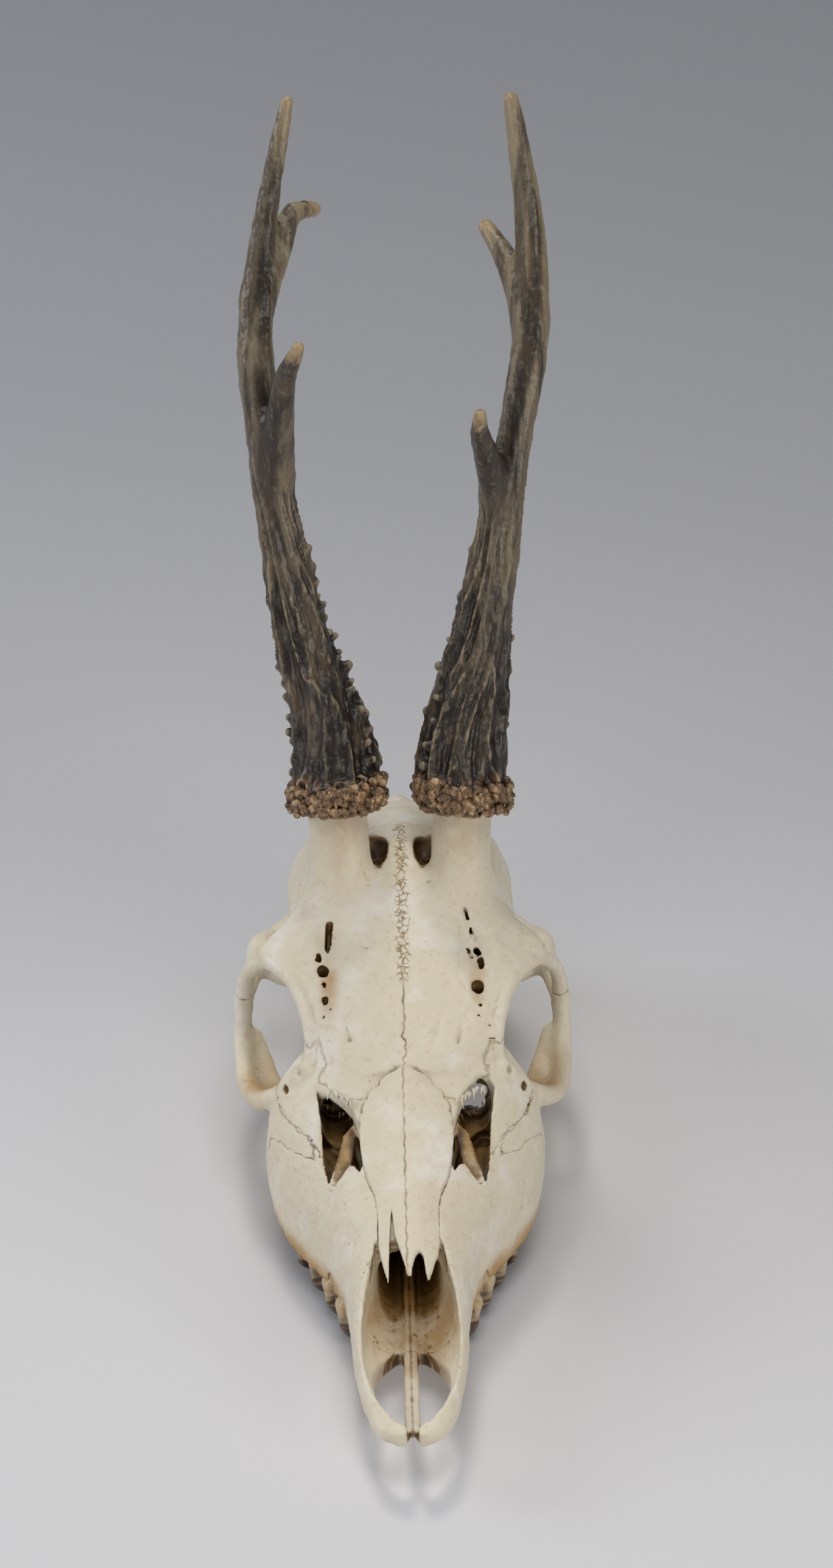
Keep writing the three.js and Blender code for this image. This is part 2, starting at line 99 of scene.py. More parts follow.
def make_camera():
    away = np.array([math.sin(VIEW_YAW) * math.cos(VIEW_DOWN), -math.cos(VIEW_YAW) * math.cos(VIEW_DOWN),
                     math.sin(VIEW_DOWN)])
    level = np.array([math.cos(VIEW_YAW), math.sin(VIEW_YAW), 0.0])
    upward = np.cross(away, level)
    right = level * math.cos(VIEW_ROLL) + upward * math.sin(VIEW_ROLL)
    up = upward * math.cos(VIEW_ROLL) - level * math.sin(VIEW_ROLL)
    data = bpy.data.cameras.new("camera")
    data.sensor_width = SENSOR
    data.lens = FOCAL_PIXELS * SENSOR / FRAME_HEIGHT
    data.clip_start, data.clip_end = 0.05, 20
    camera = bpy.data.objects.new("camera", data)
    axes = turned(np.stack([right, up, away]))
    spot = placed(VIEW_TARGET + away * VIEW_DISTANCE + right * VIEW_ASIDE)[0]
    camera.matrix_world = Matrix.Translation(Vector(spot)) @ Matrix(axes.T.tolist()).to_4x4()
    bpy.context.scene.collection.objects.link(camera)
    bpy.context.scene.camera = camera
    return camera


camera = make_camera()
print("lens", round(camera.data.lens, 1), "mm, at", [round(v, 3) for v in camera.location])

# %% [markdown]
# ## Colours and nodes
#
# Colours are written as the sRGB hex values that a colour picker shows, and one function turns them
# into the linear values that shaders add and multiply. A second small function adds a node with its
# settings and its links, for shaders and for Geometry Nodes alike.

# %% Colour and node helpers
def colour(hex_value):
    """Linear red, green, blue and alpha of an sRGB hex value."""
    parts = [int(hex_value[i:i + 2], 16) / 255 for i in (1, 3, 5)]
    return [v / 12.92 if v <= 0.04045 else ((v + 0.055) / 1.055) ** 2.4 for v in parts] + [1.0]


def node(tree, kind, inputs=(), **settings):
    """Adds a node; inputs holds (name or number, value or socket of another node) pairs."""
    made = tree.nodes.new(kind)
    for name, value in settings.items():
        setattr(made, name, value)
    for name, value in inputs:
        if isinstance(value, bpy.types.NodeSocket):
            tree.links.new(value, made.inputs[name])
        else:
            made.inputs[name].default_value = value
    return made


print("middle grey in linear light:", round(colour("#808080")[0], 3))

# %% [markdown]
# ## Layers of paint
#
# Bone and antler are coloured by nature as a painter would do it: one pale ground, then thin stains
# that settle in hollows, along seams and on worn edges, together with painted shade in hollows and
# grooves and painted highlight on the antlers' ridges. So both materials are lists of layers. A layer
# names the number that lets it show (0 hides it, 1 covers), the values between which it fades in, how
# much it covers at either end, and its colour. Where a stain would have a clean edge, a second list
# first frays its number with noise. A loop over each list adds the nodes.

# %% Paint
def fray(tree, numbers, rows):
    """Adds to numbers; a row is (name, number, number that frays it, from, to, least, most)."""
    for name, plain, rough, low, high, least, most in rows:
        push = node(tree, "ShaderNodeMapRange", [("Value", numbers[rough]), ("From Min", low), ("From Max", high),
                                                 ("To Min", least), ("To Max", most)],
                    interpolation_type="SMOOTHSTEP")
        numbers[name] = node(tree, "ShaderNodeMath", [(0, numbers[plain]), (1, push.outputs["Result"])]).outputs[0]


def paint(tree, numbers, ground, layers):
    """Lays colours over the ground; a layer is (number, from, to, least, most, colour)."""
    for name, low, high, least, most, cover in layers:
        share = node(tree, "ShaderNodeMapRange", [("Value", numbers[name]), ("From Min", low), ("From Max", high),
                                                  ("To Min", least), ("To Max", most)],
                     interpolation_type="SMOOTHSTEP").outputs["Result"]
        cover = colour(cover) if isinstance(cover, str) else cover
        ground = node(tree, "ShaderNodeMix", [(0, share), (6, ground), (7, cover)], data_type="RGBA").outputs[2]
    return ground


def fresh_material(name, *attributes):
    """An empty material, its object coordinates, and the numbers that the mesh carries for it."""
    material = bpy.data.materials.new(name)
    material.use_nodes = True
    tree = material.node_tree
    tree.nodes.clear()
    numbers = {label: node(tree, "ShaderNodeAttribute", attribute_name=label).outputs["Fac"]
               for label in attributes}
    return material, tree, node(tree, "ShaderNodeTexCoord").outputs["Object"], numbers


print("layers lie over each other in the order of their list")

# %% [markdown]
# ## Clay
#
# `Clay` is the block of space. Shapes are functions that give the distance to their surface, negative
# inside. `smooth` joins two distances with a fillet whose size is the blend, which is how bone grows
# into bone. Each shape only touches the part of the block around it, which keeps this quick.

# %% Clay
PITCH = 0.5      # mm between samples of the skull
FAR = 30.0                              # mm, the distance where nothing is near

Shape = namedtuple("Shape", "distance low high")


def smooth(first, second, blend):
    """The lower of two distances, with a fillet where they cross."""
    share = np.clip(0.5 + 0.5 * (second - first) / blend, 0, 1)
    return second * (1 - share) + first * share - blend * share * (1 - share)


class Clay:
    """A block of space that knows its distance to the surface at every sample."""

    def __init__(self, low, high, pitch):
        self.pitch = pitch
        self.low = np.floor(np.array(low) / pitch) * pitch
        self.count = np.ceil((np.array(high) - self.low) / pitch).astype(int) + 1
        self.value = np.full(self.count, FAR, np.float32)

    def around(self, low, high, margin=0.0):
        """The part of the block between two corners, and the coordinates there."""
        start = np.clip(np.floor((np.array(low) - margin - self.low) / self.pitch), 0, self.count - 1)
        stop = np.clip(np.ceil((np.array(high) + margin - self.low) / self.pitch) + 1, 1, self.count)
        where = tuple(slice(int(a), int(b)) for a, b in zip(start, stop))
        axes = [self.low[i] + self.pitch * np.arange(where[i].start, where[i].stop) for i in range(3)]
        x, y, z = np.ix_(*[axis.astype(np.float32) for axis in axes])
        return where, (x, y, z)

    def axes(self):
        """The coordinates of the whole block."""
        return self.around(self.low, self.low + self.pitch * self.count)[1]

    def add(self, shape, blend=0.5, margin=4.0):
        """Puts a shape on, with a fillet of blend mm where it meets what is there."""
        where, at = self.around(shape.low, shape.high, margin + blend)
        self.value[where] = smooth(self.value[where], shape.distance(*at).astype(np.float32), blend)

    def cut(self, shape, blend=0.4, margin=1.0):
        """Takes a shape away, with an edge rounded by blend mm."""
        where, at = self.around(shape.low, shape.high, margin + blend)
        self.value[where] = -smooth(-self.value[where], shape.distance(*at).astype(np.float32), blend)

    def sample(self, points):
        """The distance at any points, between the samples."""
        spot = np.clip((points - self.low) / self.pitch, 0, self.count - 1.001)
        corner = spot.astype(int)
        share = (spot - corner).astype(np.float32)
        total = np.zeros(len(points), np.float32)
        for step in range(8):
            offset = np.array([step >> 2 & 1, step >> 1 & 1, step & 1])
            weight = np.prod(np.where(offset, share, 1 - share), axis=1)
            x, y, z = (corner + offset).T
            total += weight * self.value[x, y, z]
        return total

    def over(self, x, y, z):
        """The distance at each sample of another block, whose axes are given."""
        grid = np.stack(np.broadcast_arrays(x, y, z), axis=-1)
        return self.sample(grid.reshape(-1, 3)).reshape(grid.shape[:-1])


print("skull clay is sampled every", PITCH, "mm")

# %% [markdown]
# ## Curves, eggs and bars
#
# Bone swells and tapers without a break, so a few knots and a smooth curve through them describe it
# better than many straight pieces. An egg serves for knobs and sockets. A bar follows bent points and
# changes its thickness on the way, which makes arches, rims, tines and cusps.

# %% Curves, eggs and bars
def through(*knots):
    """A smooth curve through a few (at, value) knots, level beyond its ends."""
    at = np.array([knot[0] for knot in knots], float)
    value = np.array([knot[1] for knot in knots], float)
    before = np.maximum(np.arange(len(at)) - 1, 0)
    after = np.minimum(np.arange(len(at)) + 1, len(at) - 1)
    slope = (value[after] - value[before]) / (at[after] - at[before])

    def curve(place):
        place = np.clip(np.asarray(place, float), at[0], at[-1])
        i = np.clip(np.searchsorted(at, place, side="right") - 1, 0, len(at) - 2)
        span = at[i + 1] - at[i]
        t = (place - at[i]) / span
        return ((2 * t ** 3 - 3 * t ** 2 + 1) * value[i] + (t ** 3 - 2 * t ** 2 + t) * span * slope[i]
                + (3 * t ** 2 - 2 * t ** 3) * value[i + 1] + (t ** 3 - t ** 2) * span * slope[i + 1])
    return curve


def egg(centre, half):
    """A rounded body that reaches half as far from its centre along each axis."""
    centre, half = np.array(centre, float), np.array(half, float)

    def distance(x, y, z):
        parts = [(axis - c) / h for axis, c, h in zip((x, y, z), centre, half)]
        near = np.sqrt(sum(part ** 2 for part in parts)) + 1e-6
        steep = np.sqrt(sum((part / h) ** 2 for part, h in zip(parts, half))) + 1e-6
        return near * (near - 1) / steep
    return Shape(distance, centre - half, centre + half)


def smooth_path(points, count):
    """More points along a rounded line through the given ones."""
    points = np.array(points, float)
    spans = np.linalg.norm(np.diff(points, axis=0), axis=1)
    at = np.concatenate([[0], np.cumsum(spans)])
    even = np.linspace(0, at[-1], count)
    return np.stack([through(*zip(at, points[:, i]))(even) for i in range(3)], axis=1)


def bar(points, radius, count=9, flat=(1, 1, 1)):
    """A rounded bar; radius is a number, or a function of the share covered. flat squeezes space."""
    path = smooth_path(points, count)
    share = np.linspace(0, 1, count)
    sizes = np.array([radius(s) if callable(radius) else radius for s in share], float)
    flat = np.array(flat, float)

    def distance(x, y, z):
        best = None
        for a, b, r0, r1 in zip(path[:-1], path[1:], sizes[:-1], sizes[1:]):
            along = (b - a) * flat
            off = [(axis - start) * f for axis, start, f in zip((x, y, z), a, flat)]
            t = np.clip(sum(o * d for o, d in zip(off, along)) / (along @ along + 1e-9), 0, 1)
            gap = np.sqrt(sum((o - t * d) ** 2 for o, d in zip(off, along))) - (r0 + (r1 - r0) * t)
            best = gap if best is None else np.minimum(best, gap)
        return best
    wide = sizes.max() / flat.min()
    return Shape(distance, path.min(0) - wide, path.max(0) + wide)


print("2 mm off an egg's pole:", round(float(egg((0, 0, 0), (5, 5, 9)).distance(0, 0, 11)), 2), "mm")

# %% [markdown]
# ## Lofts and prisms
#
# The face, forehead and braincase are long bodies whose cross-section changes along the head, and that
# is a loft: half width, height and roundness are each a curve. What has an outline in one view only,
# such as a gap or a thin crest, is a prism.

# %% Lofts and prisms
def loft(start, stop, half, wide, top, bottom, up=2.0, down=2.0, middle=None):
    """A body along the head. Its section is half wide at the height wide, from bottom to top, and
    its upper and lower parts bulge as told: 2 is round, more is boxier, less is leaner."""
    def number(value, y):
        return value(y) if callable(value) else np.full_like(y, value)

    def distance(x, y, z):
        line = y.ravel().astype(float)
        h, w, t, b, u, d, m = [number(v, line)[None, :, None]
                               for v in (half, wide, top, bottom, up, down, middle or 0.0)]
        above = z > w
        tall = np.where(above, t - w, w - b)
        bulge = np.where(above, u, d)
        across = np.abs(x - m) / h
        rise = np.abs(z - w) / tall
        near = (across ** bulge + rise ** bulge + 1e-9) ** (1 / bulge)
        steep = near ** (1 - bulge) * np.sqrt((across ** (bulge - 1) / h) ** 2
                                              + (rise ** (bulge - 1) / tall) ** 2)
        ends = np.maximum(start - y, y - stop)
        return np.maximum((near - 1) / np.maximum(steep, 1e-3), ends)
    line = np.linspace(start, stop, 60)
    reach = number(half, line).max() + (np.abs(number(middle, line)).max() if middle else 0)
    return Shape(distance, (-reach, start, number(bottom, line).min()),
                 (reach, stop, number(top, line).max()))


def outline_distance(u, v, corners):
    """Distance to a closed outline in a plane, negative inside."""
    corners = np.array(corners, float)
    near = np.full(np.broadcast(u, v).shape, FAR ** 2)
    inside = np.zeros(near.shape, bool)
    for (u0, v0), (u1, v1) in zip(corners, np.roll(corners, -1, axis=0)):
        du, dv = u1 - u0, v1 - v0
        t = np.clip(((u - u0) * du + (v - v0) * dv) / (du * du + dv * dv), 0, 1)
        near = np.minimum(near, (u - u0 - t * du) ** 2 + (v - v0 - t * dv) ** 2)
        crosses = (v0 > v) != (v1 > v)
        inside ^= crosses & (u < u0 + (v - v0) * du / (dv if dv else 1e-9))
    return np.where(inside, -1, 1) * np.sqrt(near)


def side_prism(corners, low_x, high_x):
    """A side-view outline of (y, z) corners between two places across the head."""
    def distance(x, y, z):
        plane = outline_distance(y, z, corners)
        return np.maximum(plane, np.maximum(low_x - x, x - high_x))
    spots = np.array(corners, float)
    return Shape(distance, (low_x, *spots.min(0)), (high_x, *spots.max(0)))


def top_prism(corners, low_z, high_z):
    """A top-view outline of (x, y) corners between two heights."""
    def distance(x, y, z):
        plane = outline_distance(x, y, corners)
        return np.maximum(plane, np.maximum(low_z - z, z - high_z))
    spots = np.array(corners, float)
    return Shape(distance, (*spots.min(0), low_z), (*spots.max(0), high_z))


def mirrored(points, side):
    """Points of the right side, or the same on the left with side -1."""
    return [(side * x, y, z) for x, y, z in points]


print("a prism's edge, 1 mm outside:", outline_distance(3.0, 0.0, [(-2, -2), (2, -2), (2, 2), (-2, 2)]))

# %% [markdown]
# ## From clay to mesh
#
# Clay only becomes a mesh at the end. A surface net puts one vertex into each cube that the surface
# passes through, at the mean of the places where it crosses the cube's edges, and one four-sided face
# over each crossed edge. It gives even, rounded faces, which suits bone, and always a closed mesh.

# %% Surface net
def surface_net(value, low, pitch):
    """The vertices and four-sided faces of the surface in a block of distances."""
    value = value.copy()
    for axis in range(3):
        ends = [slice(None)] * 3
        for end in (0, -1):
            ends[axis] = end
            value[tuple(ends)] = np.maximum(value[tuple(ends)], pitch)
    inside = value < 0
    size = value.shape
    step = np.array([size[1] * size[2], size[2], 1])
    spots, rings = [], []
    for axis in range(3):
        ahead = np.eye(3, dtype=int)[axis]
        lower = tuple(slice(0, n - a) for n, a in zip(size, ahead))
        upper = tuple(slice(a, n) for n, a in zip(size, ahead))
        at = np.argwhere(inside[lower] != inside[upper])
        first = value[tuple(at.T)]
        second = value[tuple((at + ahead).T)]
        spots.append(at + ahead * (first / (first - second))[:, None])
        flat = at @ step
        next_step, last_step = step[(axis + 1) % 3], step[(axis + 2) % 3]
        ring = np.stack([flat, flat - next_step, flat - next_step - last_step, flat - last_step], axis=1)
        rings.append(np.where((first < 0)[:, None], ring, ring[:, ::-1]))
    spots, rings = np.concatenate(spots), np.concatenate(rings)
    cells, faces = np.unique(rings.ravel(), return_inverse=True)
    many = np.bincount(faces)
    points = np.stack([np.bincount(faces, np.repeat(spots[:, i], 4)) / many for i in range(3)], axis=1)
    return points * pitch + low, faces.reshape(-1, 4)


def without_crumbs(points, faces, least=300):
    """Drops the loose bits of a mesh that have fewer vertices than least."""
    label = np.arange(len(points))
    while True:
        lowest = label[faces].min(axis=1)
        fresh = label.copy()
        np.minimum.at(fresh, faces.ravel(), np.repeat(lowest, faces.shape[1]))
        fresh = fresh[fresh]
        if (fresh == label).all():
            break
        label = fresh
    kept = np.bincount(label, minlength=len(points))[label] >= least
    number = np.cumsum(kept) - 1
    return points[kept], number[faces[kept[faces[:, 0]]]]


ball = Clay((-6, -6, -6), (6, 6, 6), 0.5)
ball.add(egg((0, 0, 0), (4, 4, 4)))
print("a ball of clay, 8 mm across, as a net:", surface_net(ball.value, ball.low, ball.pitch)[1].shape[0], "faces")

# %% [markdown]
# ## Working on the vertices
#
# Fine relief and stains are worked out for each vertex: the way it faces, an average over its
# neighbours, and noise. The noise is made here from whole-number hashes and not by Blender, so that it
# can push vertices as well as colour them, and is the same in every run.

# %% Vertex helpers
def facing(points, faces):
    """The direction each vertex faces."""
    corner = points[faces]
    across = np.cross(corner[:, 2] - corner[:, 0], corner[:, 3] - corner[:, 1])
    flat = faces.ravel()
    total = np.stack([np.bincount(flat, np.repeat(across[:, i], 4), len(points)) for i in range(3)], axis=1)
    return total / (np.linalg.norm(total, axis=1, keepdims=True) + 1e-12)


def blurred(values, faces, times):
    """Values on the vertices, averaged with their neighbours again and again."""
    start, end = faces.ravel(), np.roll(faces, -1, axis=1).ravel()
    many = np.bincount(start, minlength=len(values)) + np.bincount(end, minlength=len(values))
    values = np.asarray(values, float)
    for _ in range(times):
        columns = values.reshape(len(values), -1)
        total = np.stack([np.bincount(start, column[end], len(values)) + np.bincount(end, column[start],
                          len(values)) for column in columns.T], axis=1)
        values = 0.5 * values + 0.5 * (total / many[:, None]).reshape(values.shape)
    return values


HASH_STEPS = np.array([73856093, 19349663, 83492791])    # large primes that scatter neighbours


def noise(points, size, seed=0):
    """Smooth noise from 0 to 1 whose lumps are about size mm across; size may differ by axis."""
    scaled = points / size
    corner = np.floor(scaled).astype(np.int64)
    share = scaled - corner
    share = (share * share * (3 - 2 * share)).astype(np.float32)
    total = np.zeros(len(points), np.float32)
    for step in range(8):
        offset = np.array([step >> 2 & 1, step >> 1 & 1, step & 1])
        mixed = ((corner + offset) @ HASH_STEPS + seed * 7919).astype(np.uint64)
        mixed ^= mixed >> np.uint64(15)
        mixed *= np.uint64(2246822519)
        mixed ^= mixed >> np.uint64(13)
        mixed *= np.uint64(3266489917)
        mixed ^= mixed >> np.uint64(16)
        chance = (mixed & np.uint64(65535)).astype(np.float32) / 65535
        total += chance * np.prod(np.where(offset, share, 1 - share), axis=1)
    return total


print("noise at three spots:", noise(np.array([[0, 0, 0], [1, 2, 3], [9, 9, 9.0]]), 2.5).round(2))

# %% [markdown]
# ## A finished piece
#
# A real skull's bones are separate and yet never move, so each becomes an object of its own that rides
# on the model's one body. Its numbers for the paint go with the mesh as attributes. The braincase is
# by far the largest, and a net has as many faces on smooth bone as on rough, so a Decimate modifier
# thins any piece that passes a limit; smooth places lose most, and the eye does not see it.

# %% Finished pieces
MOST_TRIANGLES = 190000       # of one piece


def thinned(piece, count):
    """Replaces a piece's mesh by one with about MOST_TRIANGLES triangles."""
    piece.modifiers.new("thinner", "DECIMATE").ratio = MOST_TRIANGLES / count
    graph = bpy.context.evaluated_depsgraph_get()
    piece.data = bpy.data.meshes.new_from_object(piece.evaluated_get(graph), preserve_all_data_layers=True,
                                                 depsgraph=graph)
    piece.modifiers.clear()
    piece.data.calc_loop_triangles()
    print(f"{piece.name}: thinned from {count} triangles")
    return len(piece.data.loop_triangles)


def make_piece(name, points, faces, material, nodes, attributes):
    """A finished mesh object: placed on the table, riding on the model's one body."""
    mesh = bpy.data.meshes.new(name)
    corners = faces.shape[1]
    mesh.vertices.add(len(points))
    mesh.vertices.foreach_set("co", placed(points).astype(np.float32).ravel())
    mesh.loops.add(faces.size)
    mesh.loops.foreach_set("vertex_index", faces.astype(np.int32).ravel())
    mesh.polygons.add(len(faces))
    mesh.polygons.foreach_set("loop_start", np.arange(0, faces.size, corners, dtype=np.int32))
    mesh.polygons.foreach_set("loop_total", np.full(len(faces), corners, np.int32))
    mesh.update(calc_edges=True)
    mesh.shade_smooth()
    for label, values in attributes.items():
        layer = mesh.attributes.new(label, "FLOAT", "POINT")
        layer.data.foreach_set("value", np.asarray(values, np.float32))
    mesh.materials.append(material)
    piece = bpy.data.objects.new(name, mesh)
    bpy.context.scene.collection.objects.link(piece)
    count = len(faces) * (corners - 2)
    if count > MOST_TRIANGLES:
        count = thinned(piece, count)
    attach(piece, "root")
    if nodes:
        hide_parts(*nodes)
    print(f"{name}: {count} triangles")
    return piece


print("no piece may have more than", MOST_TRIANGLES, "triangles")

# %% [markdown]
# ## Bone
#
# The skull is dry, cleaned bone. Its outer layer is dense and takes a soft satin light; where fat has
# stayed in it, it is tan, where the sun or bleach reached it, it is cold white. Dirt and old tissue
# darken the sutures, and dirt together with painted shade darkens every hollow. The mesh carries five
# numbers for each vertex that say where that happens: a number for how shut in the place is (painted
# shade and dirt), *seam* (how near a suture), a number for fat and tan (also painted shade in the gaps
# before the eyes and around the pedicles' bases), *relief* (above or below the surface around it;
# grooves get painted shade and dirt) and *knit* (where the two frontal bones have knitted together).
# The paint mixes these with fine noise. Bump adds mottles and pores that are too fine for the mesh.
# The same function also makes tooth enamel and dried tissue, which differ in colour and gloss.

# %% Bone material
# Lumps to the metre: 75 makes patches 13 mm across, 420 mottles of 2.4 mm, 1500 pores 0.7 mm apart, which
# is coarser than real pores so that they show. The loops of the knitted seam are 1.6 mm wide (620).
def bone_material(name, pale, cream, tan, brown, dark, roughness):
    material, tree, place, numbers = fresh_material(name, "shade_and_dirt", "seam", "warm_and_shade", "relief", "knit")
    for label, lumps, detail, rough in (("patches", 75.0, 6.0, 0.62), ("mottle", 420.0, 5.0, 0.7)):
        numbers[label] = node(tree, "ShaderNodeTexNoise", [("Vector", place), ("Scale", lumps), ("Detail", detail),
                                                           ("Roughness", rough)]).outputs["Fac"]
    # The shut-in number (painted shade and dirt) and a share of the fat stain make the number for the stain layers,
    # which are painted shade as well as stain and dirt.
    warm_share = node(tree, "ShaderNodeMath", [(0, numbers["warm_and_shade"]), (1, 0.38)], operation="MULTIPLY").outputs[0]
    numbers["dirt_fat_and_shade"] = node(tree, "ShaderNodeMath", [(0, numbers["shade_and_dirt"]), (1, warm_share)]).outputs[0]
    fray(tree, numbers, [("warmth_and_shade", "warm_and_shade", "patches", 0.35, 0.7, -0.18, 0.18),
                         ("stain_and_shade", "dirt_fat_and_shade", "mottle", 0.3, 0.7, -0.12, 0.12),
                         ("suture", "seam", "mottle", 0.3, 0.7, -0.3, 0.1)])
    bent = node(tree, "ShaderNodeTexNoise", [("Vector", place), ("Scale", 900.0), ("Detail", 1.0)])
    bent = node(tree, "ShaderNodeMix", [(0, 0.0014), (4, place), (5, bent.outputs["Color"])], data_type="VECTOR")
    loops = node(tree, "ShaderNodeTexVoronoi", [("Vector", bent.outputs[1]), ("Scale", 620.0)],
                 feature="DISTANCE_TO_EDGE")
    line = node(tree, "ShaderNodeMapRange", [("Value", loops.outputs["Distance"]), ("From Min", 0.05),
                                             ("From Max", 0.13), ("To Min", 1.0), ("To Max", 0.0)],
                interpolation_type="SMOOTHSTEP").outputs["Result"]
    where = node(tree, "ShaderNodeMapRange", [("Value", numbers["knit"]), ("From Min", 0.2), ("From Max", 0.8)],
                 interpolation_type="SMOOTHSTEP").outputs["Result"]
    numbers["loops"] = node(tree, "ShaderNodeMath", [(0, line), (1, where)], operation="MULTIPLY").outputs[0]
    # The two stain layers are brown and dark painted shade, with dirt and fat stain, in the hollows; the relief
    # layer darkens grooves with painted shade and dirt.
    base = paint(tree, numbers, colour(cream), [("patches", 0.46, 0.7, 0.0, 1.0, pale),
                                                ("mottle", 0.5, 0.75, 0.0, 0.3, tan),
                                                ("warmth_and_shade", 0.1, 0.9, 0.0, 1.0, tan),
                                                ("stain_and_shade", 0.4, 0.85, 0.0, 1.0, brown),
                                                ("stain_and_shade", 0.8, 1.15, 0.0, 1.0, dark),
                                                ("suture", 0.3, 1.0, 0.0, 0.5, brown),
                                                ("relief", -0.15, -0.7, 0.0, 0.5, brown)])
    knit_cover = node(tree, "ShaderNodeMath", [(0, numbers["loops"]), (1, 0.8)], operation="MULTIPLY").outputs[0]
    base = node(tree, "ShaderNodeMix", [(0, knit_cover), (6, base), (7, colour("#957743"))],
                data_type="RGBA").outputs[2]
    pores = node(tree, "ShaderNodeTexVoronoi", [("Vector", place), ("Scale", 1500.0), ("Randomness", 1.0)])
    hole = node(tree, "ShaderNodeMapRange", [("Value", pores.outputs["Distance"]), ("From Min", 0.05),
                                             ("From Max", 0.28)], interpolation_type="SMOOTHSTEP")
    rarely = node(tree, "ShaderNodeMapRange", [("Value", numbers["patches"]), ("From Min", 0.36), ("From Max", 0.52),
                                               ("To Min", 0.35), ("To Max", 0.0)],
                  interpolation_type="SMOOTHSTEP")
    pits = node(tree, "ShaderNodeMath", [(0, hole.outputs["Result"]), (1, rarely.outputs["Result"])],
                operation="MULTIPLY").outputs[0]
    grain = node(tree, "ShaderNodeMath", [(0, numbers["mottle"]), (1, 0.7), (2, pits)], operation="MULTIPLY_ADD")
    bump = node(tree, "ShaderNodeBump", [("Strength", 0.35), ("Distance", 0.0005), ("Height", grain.outputs[0])])
    shine = node(tree, "ShaderNodeBsdfPrincipled", [("Base Color", base), ("Roughness", roughness), ("IOR", 1.54),
                                                    ("Normal", bump.outputs["Normal"])])
    node(tree, "ShaderNodeOutputMaterial", [("Surface", shine.outputs["BSDF"])])
    return material


# Dry bone scatters light broadly; enamel is denser and harder, so it keeps a small sharp shine.
bone = bone_material("dry cleaned bone", "#ebe7de", "#e1d8c2", "#b9935c", "#80602f", "#432b10", 0.5)
enamel = bone_material("tooth enamel, worn and stained", "#d9cdb0", "#c2ab85", "#5a4130", "#3f2b1c", "#1a110a",
                       0.3)
print("materials:", bone.name, "|", enamel.name)

# %% [markdown]
# ## The lines of the head
#
# A skull is long and its sections change slowly, so it is drawn as a shipwright draws a hull. A few
# curves along the head hold its proportions: the profile of the forehead and nose, the half width of
# the face, where it is widest, and so on. They are functions of the distance from the tip of the upper
# jaw, through a handful of measured knots each.

# %% Profile curves
SKULL_LENGTH = 196
ORBIT_BACK = 122              # mm from the tip of the upper jaw
ORBIT_UP = 44                 # mm above the chewing plane
NASAL_TIP = 41.4
NASAL_END = 95.5
ALVEOLAR_UP = 9               # mm above the chewing plane, where the teeth leave the jaw
SIDES = (("left", -1), ("right", 1))

top_line = through((3, 11), (44, 29.5), (94, 50.5), (112, 59), (128, 67.5), (145, 77), (158, 79.5),
                   (172, 75.6), (186, 66), (SKULL_LENGTH, 59))
face_half = through((3.2, 4), (6, 8), (12, 10.5), (22, 12.5), (32, 13.7), (52, 15.4), (64, 20), (80, 29.2),
                    (92, 33.4), (104, 34), (113, 29), (121, 17))
face_top = through((0, 11), (8, 13), (30, 25), (50, 33), (72, 40), (94, 49), (110, 56), (121, 52))
face_wide = through((0, 9), (40, 10), (56, 10), (72, 9.6), (84, 11), (104, 22), (121, 26))
face_bottom = through((0, 7.8), (6, 7.2), (12, 5.8), (46, 6), (54, 8), (108, 8), (116, 10), (121, 18))
nasal_half = through((NASAL_TIP, 5.2), (50, 7.3), (62, 7.6), (70, 10.2), (80, 11.4), (88, 10), (94, 5),
                     (NASAL_END, 2.5))
aperture_half = through((5.5, 1.2), (8, 4.6), (12, 8.6), (18, 11.2), (28, 12), (40, 10.8), (52, 8), (70, 7.4),
                        (84, 6))
forehead_half = through((95, 14), (103, 21.5), (112, 24.5), (120, 29), (127, 34), (131, 35.5), (137, 30),
                        (143, 26), (152, 25.6))
forehead_edge = through((95, 42), (103, 48), (112, 54.5), (120, 59.5), (131, 60), (142, 62), (152, 62))
brain_half = through((122, 11), (132, 16.5), (142, 25), (152, 27.8), (168, 28.5), (184, 28), (191, 25),
                     (197, 15))
brain_bottom = through((122, 27), (150, 22), (170, 19.5), (197, 19.5))
brain_top = through((122, 52), (134, 66), (145, 76.5), (158, 79.5), (172, 75.6), (186, 66), (194, 61),
                    (197, 56))
brain_wide = through((122, 42), (145, 52), (170, 50), (197, 40))
print("highest point of the profile:", float(top_line(158)), "mm above the chewing plane")

# %% [markdown]
# ## Where the antlers stand
#
# An antler grows from a short bony stalk, the pedicle, so the skull has to know the antler's foot. The
# two differ a little, as they do on every buck: each has its own curve for how far it stands out.

# %% The antlers' lines
ANTLER_LEAN = math.radians(68)
ANTLER_FOOT = np.array([0.0, 150.0, 88.0])
ANTLER_LENGTH = 180
BURR_LOW = 2                  # mm up the antler
BURR_HIGH = 10.5
AXIS = np.array([0.0, math.cos(ANTLER_LEAN), math.sin(ANTLER_LEAN)])
BACKWARD = np.array([0.0, math.sin(ANTLER_LEAN), -math.cos(ANTLER_LEAN)])
REACH = {
    -1: through((0, 15.6), (20, 16.6), (50, 24.2), (83, 30.2), (113, 33.8), (128, 33.5), (150, 30.8),
                (ANTLER_LENGTH, 24.8)),
    1: through((0, 15.6), (20, 15.8), (50, 21.6), (83, 26.8), (113, 32.6), (130, 33.9), (150, 33.2),
               (ANTLER_LENGTH, 28.9)),
}
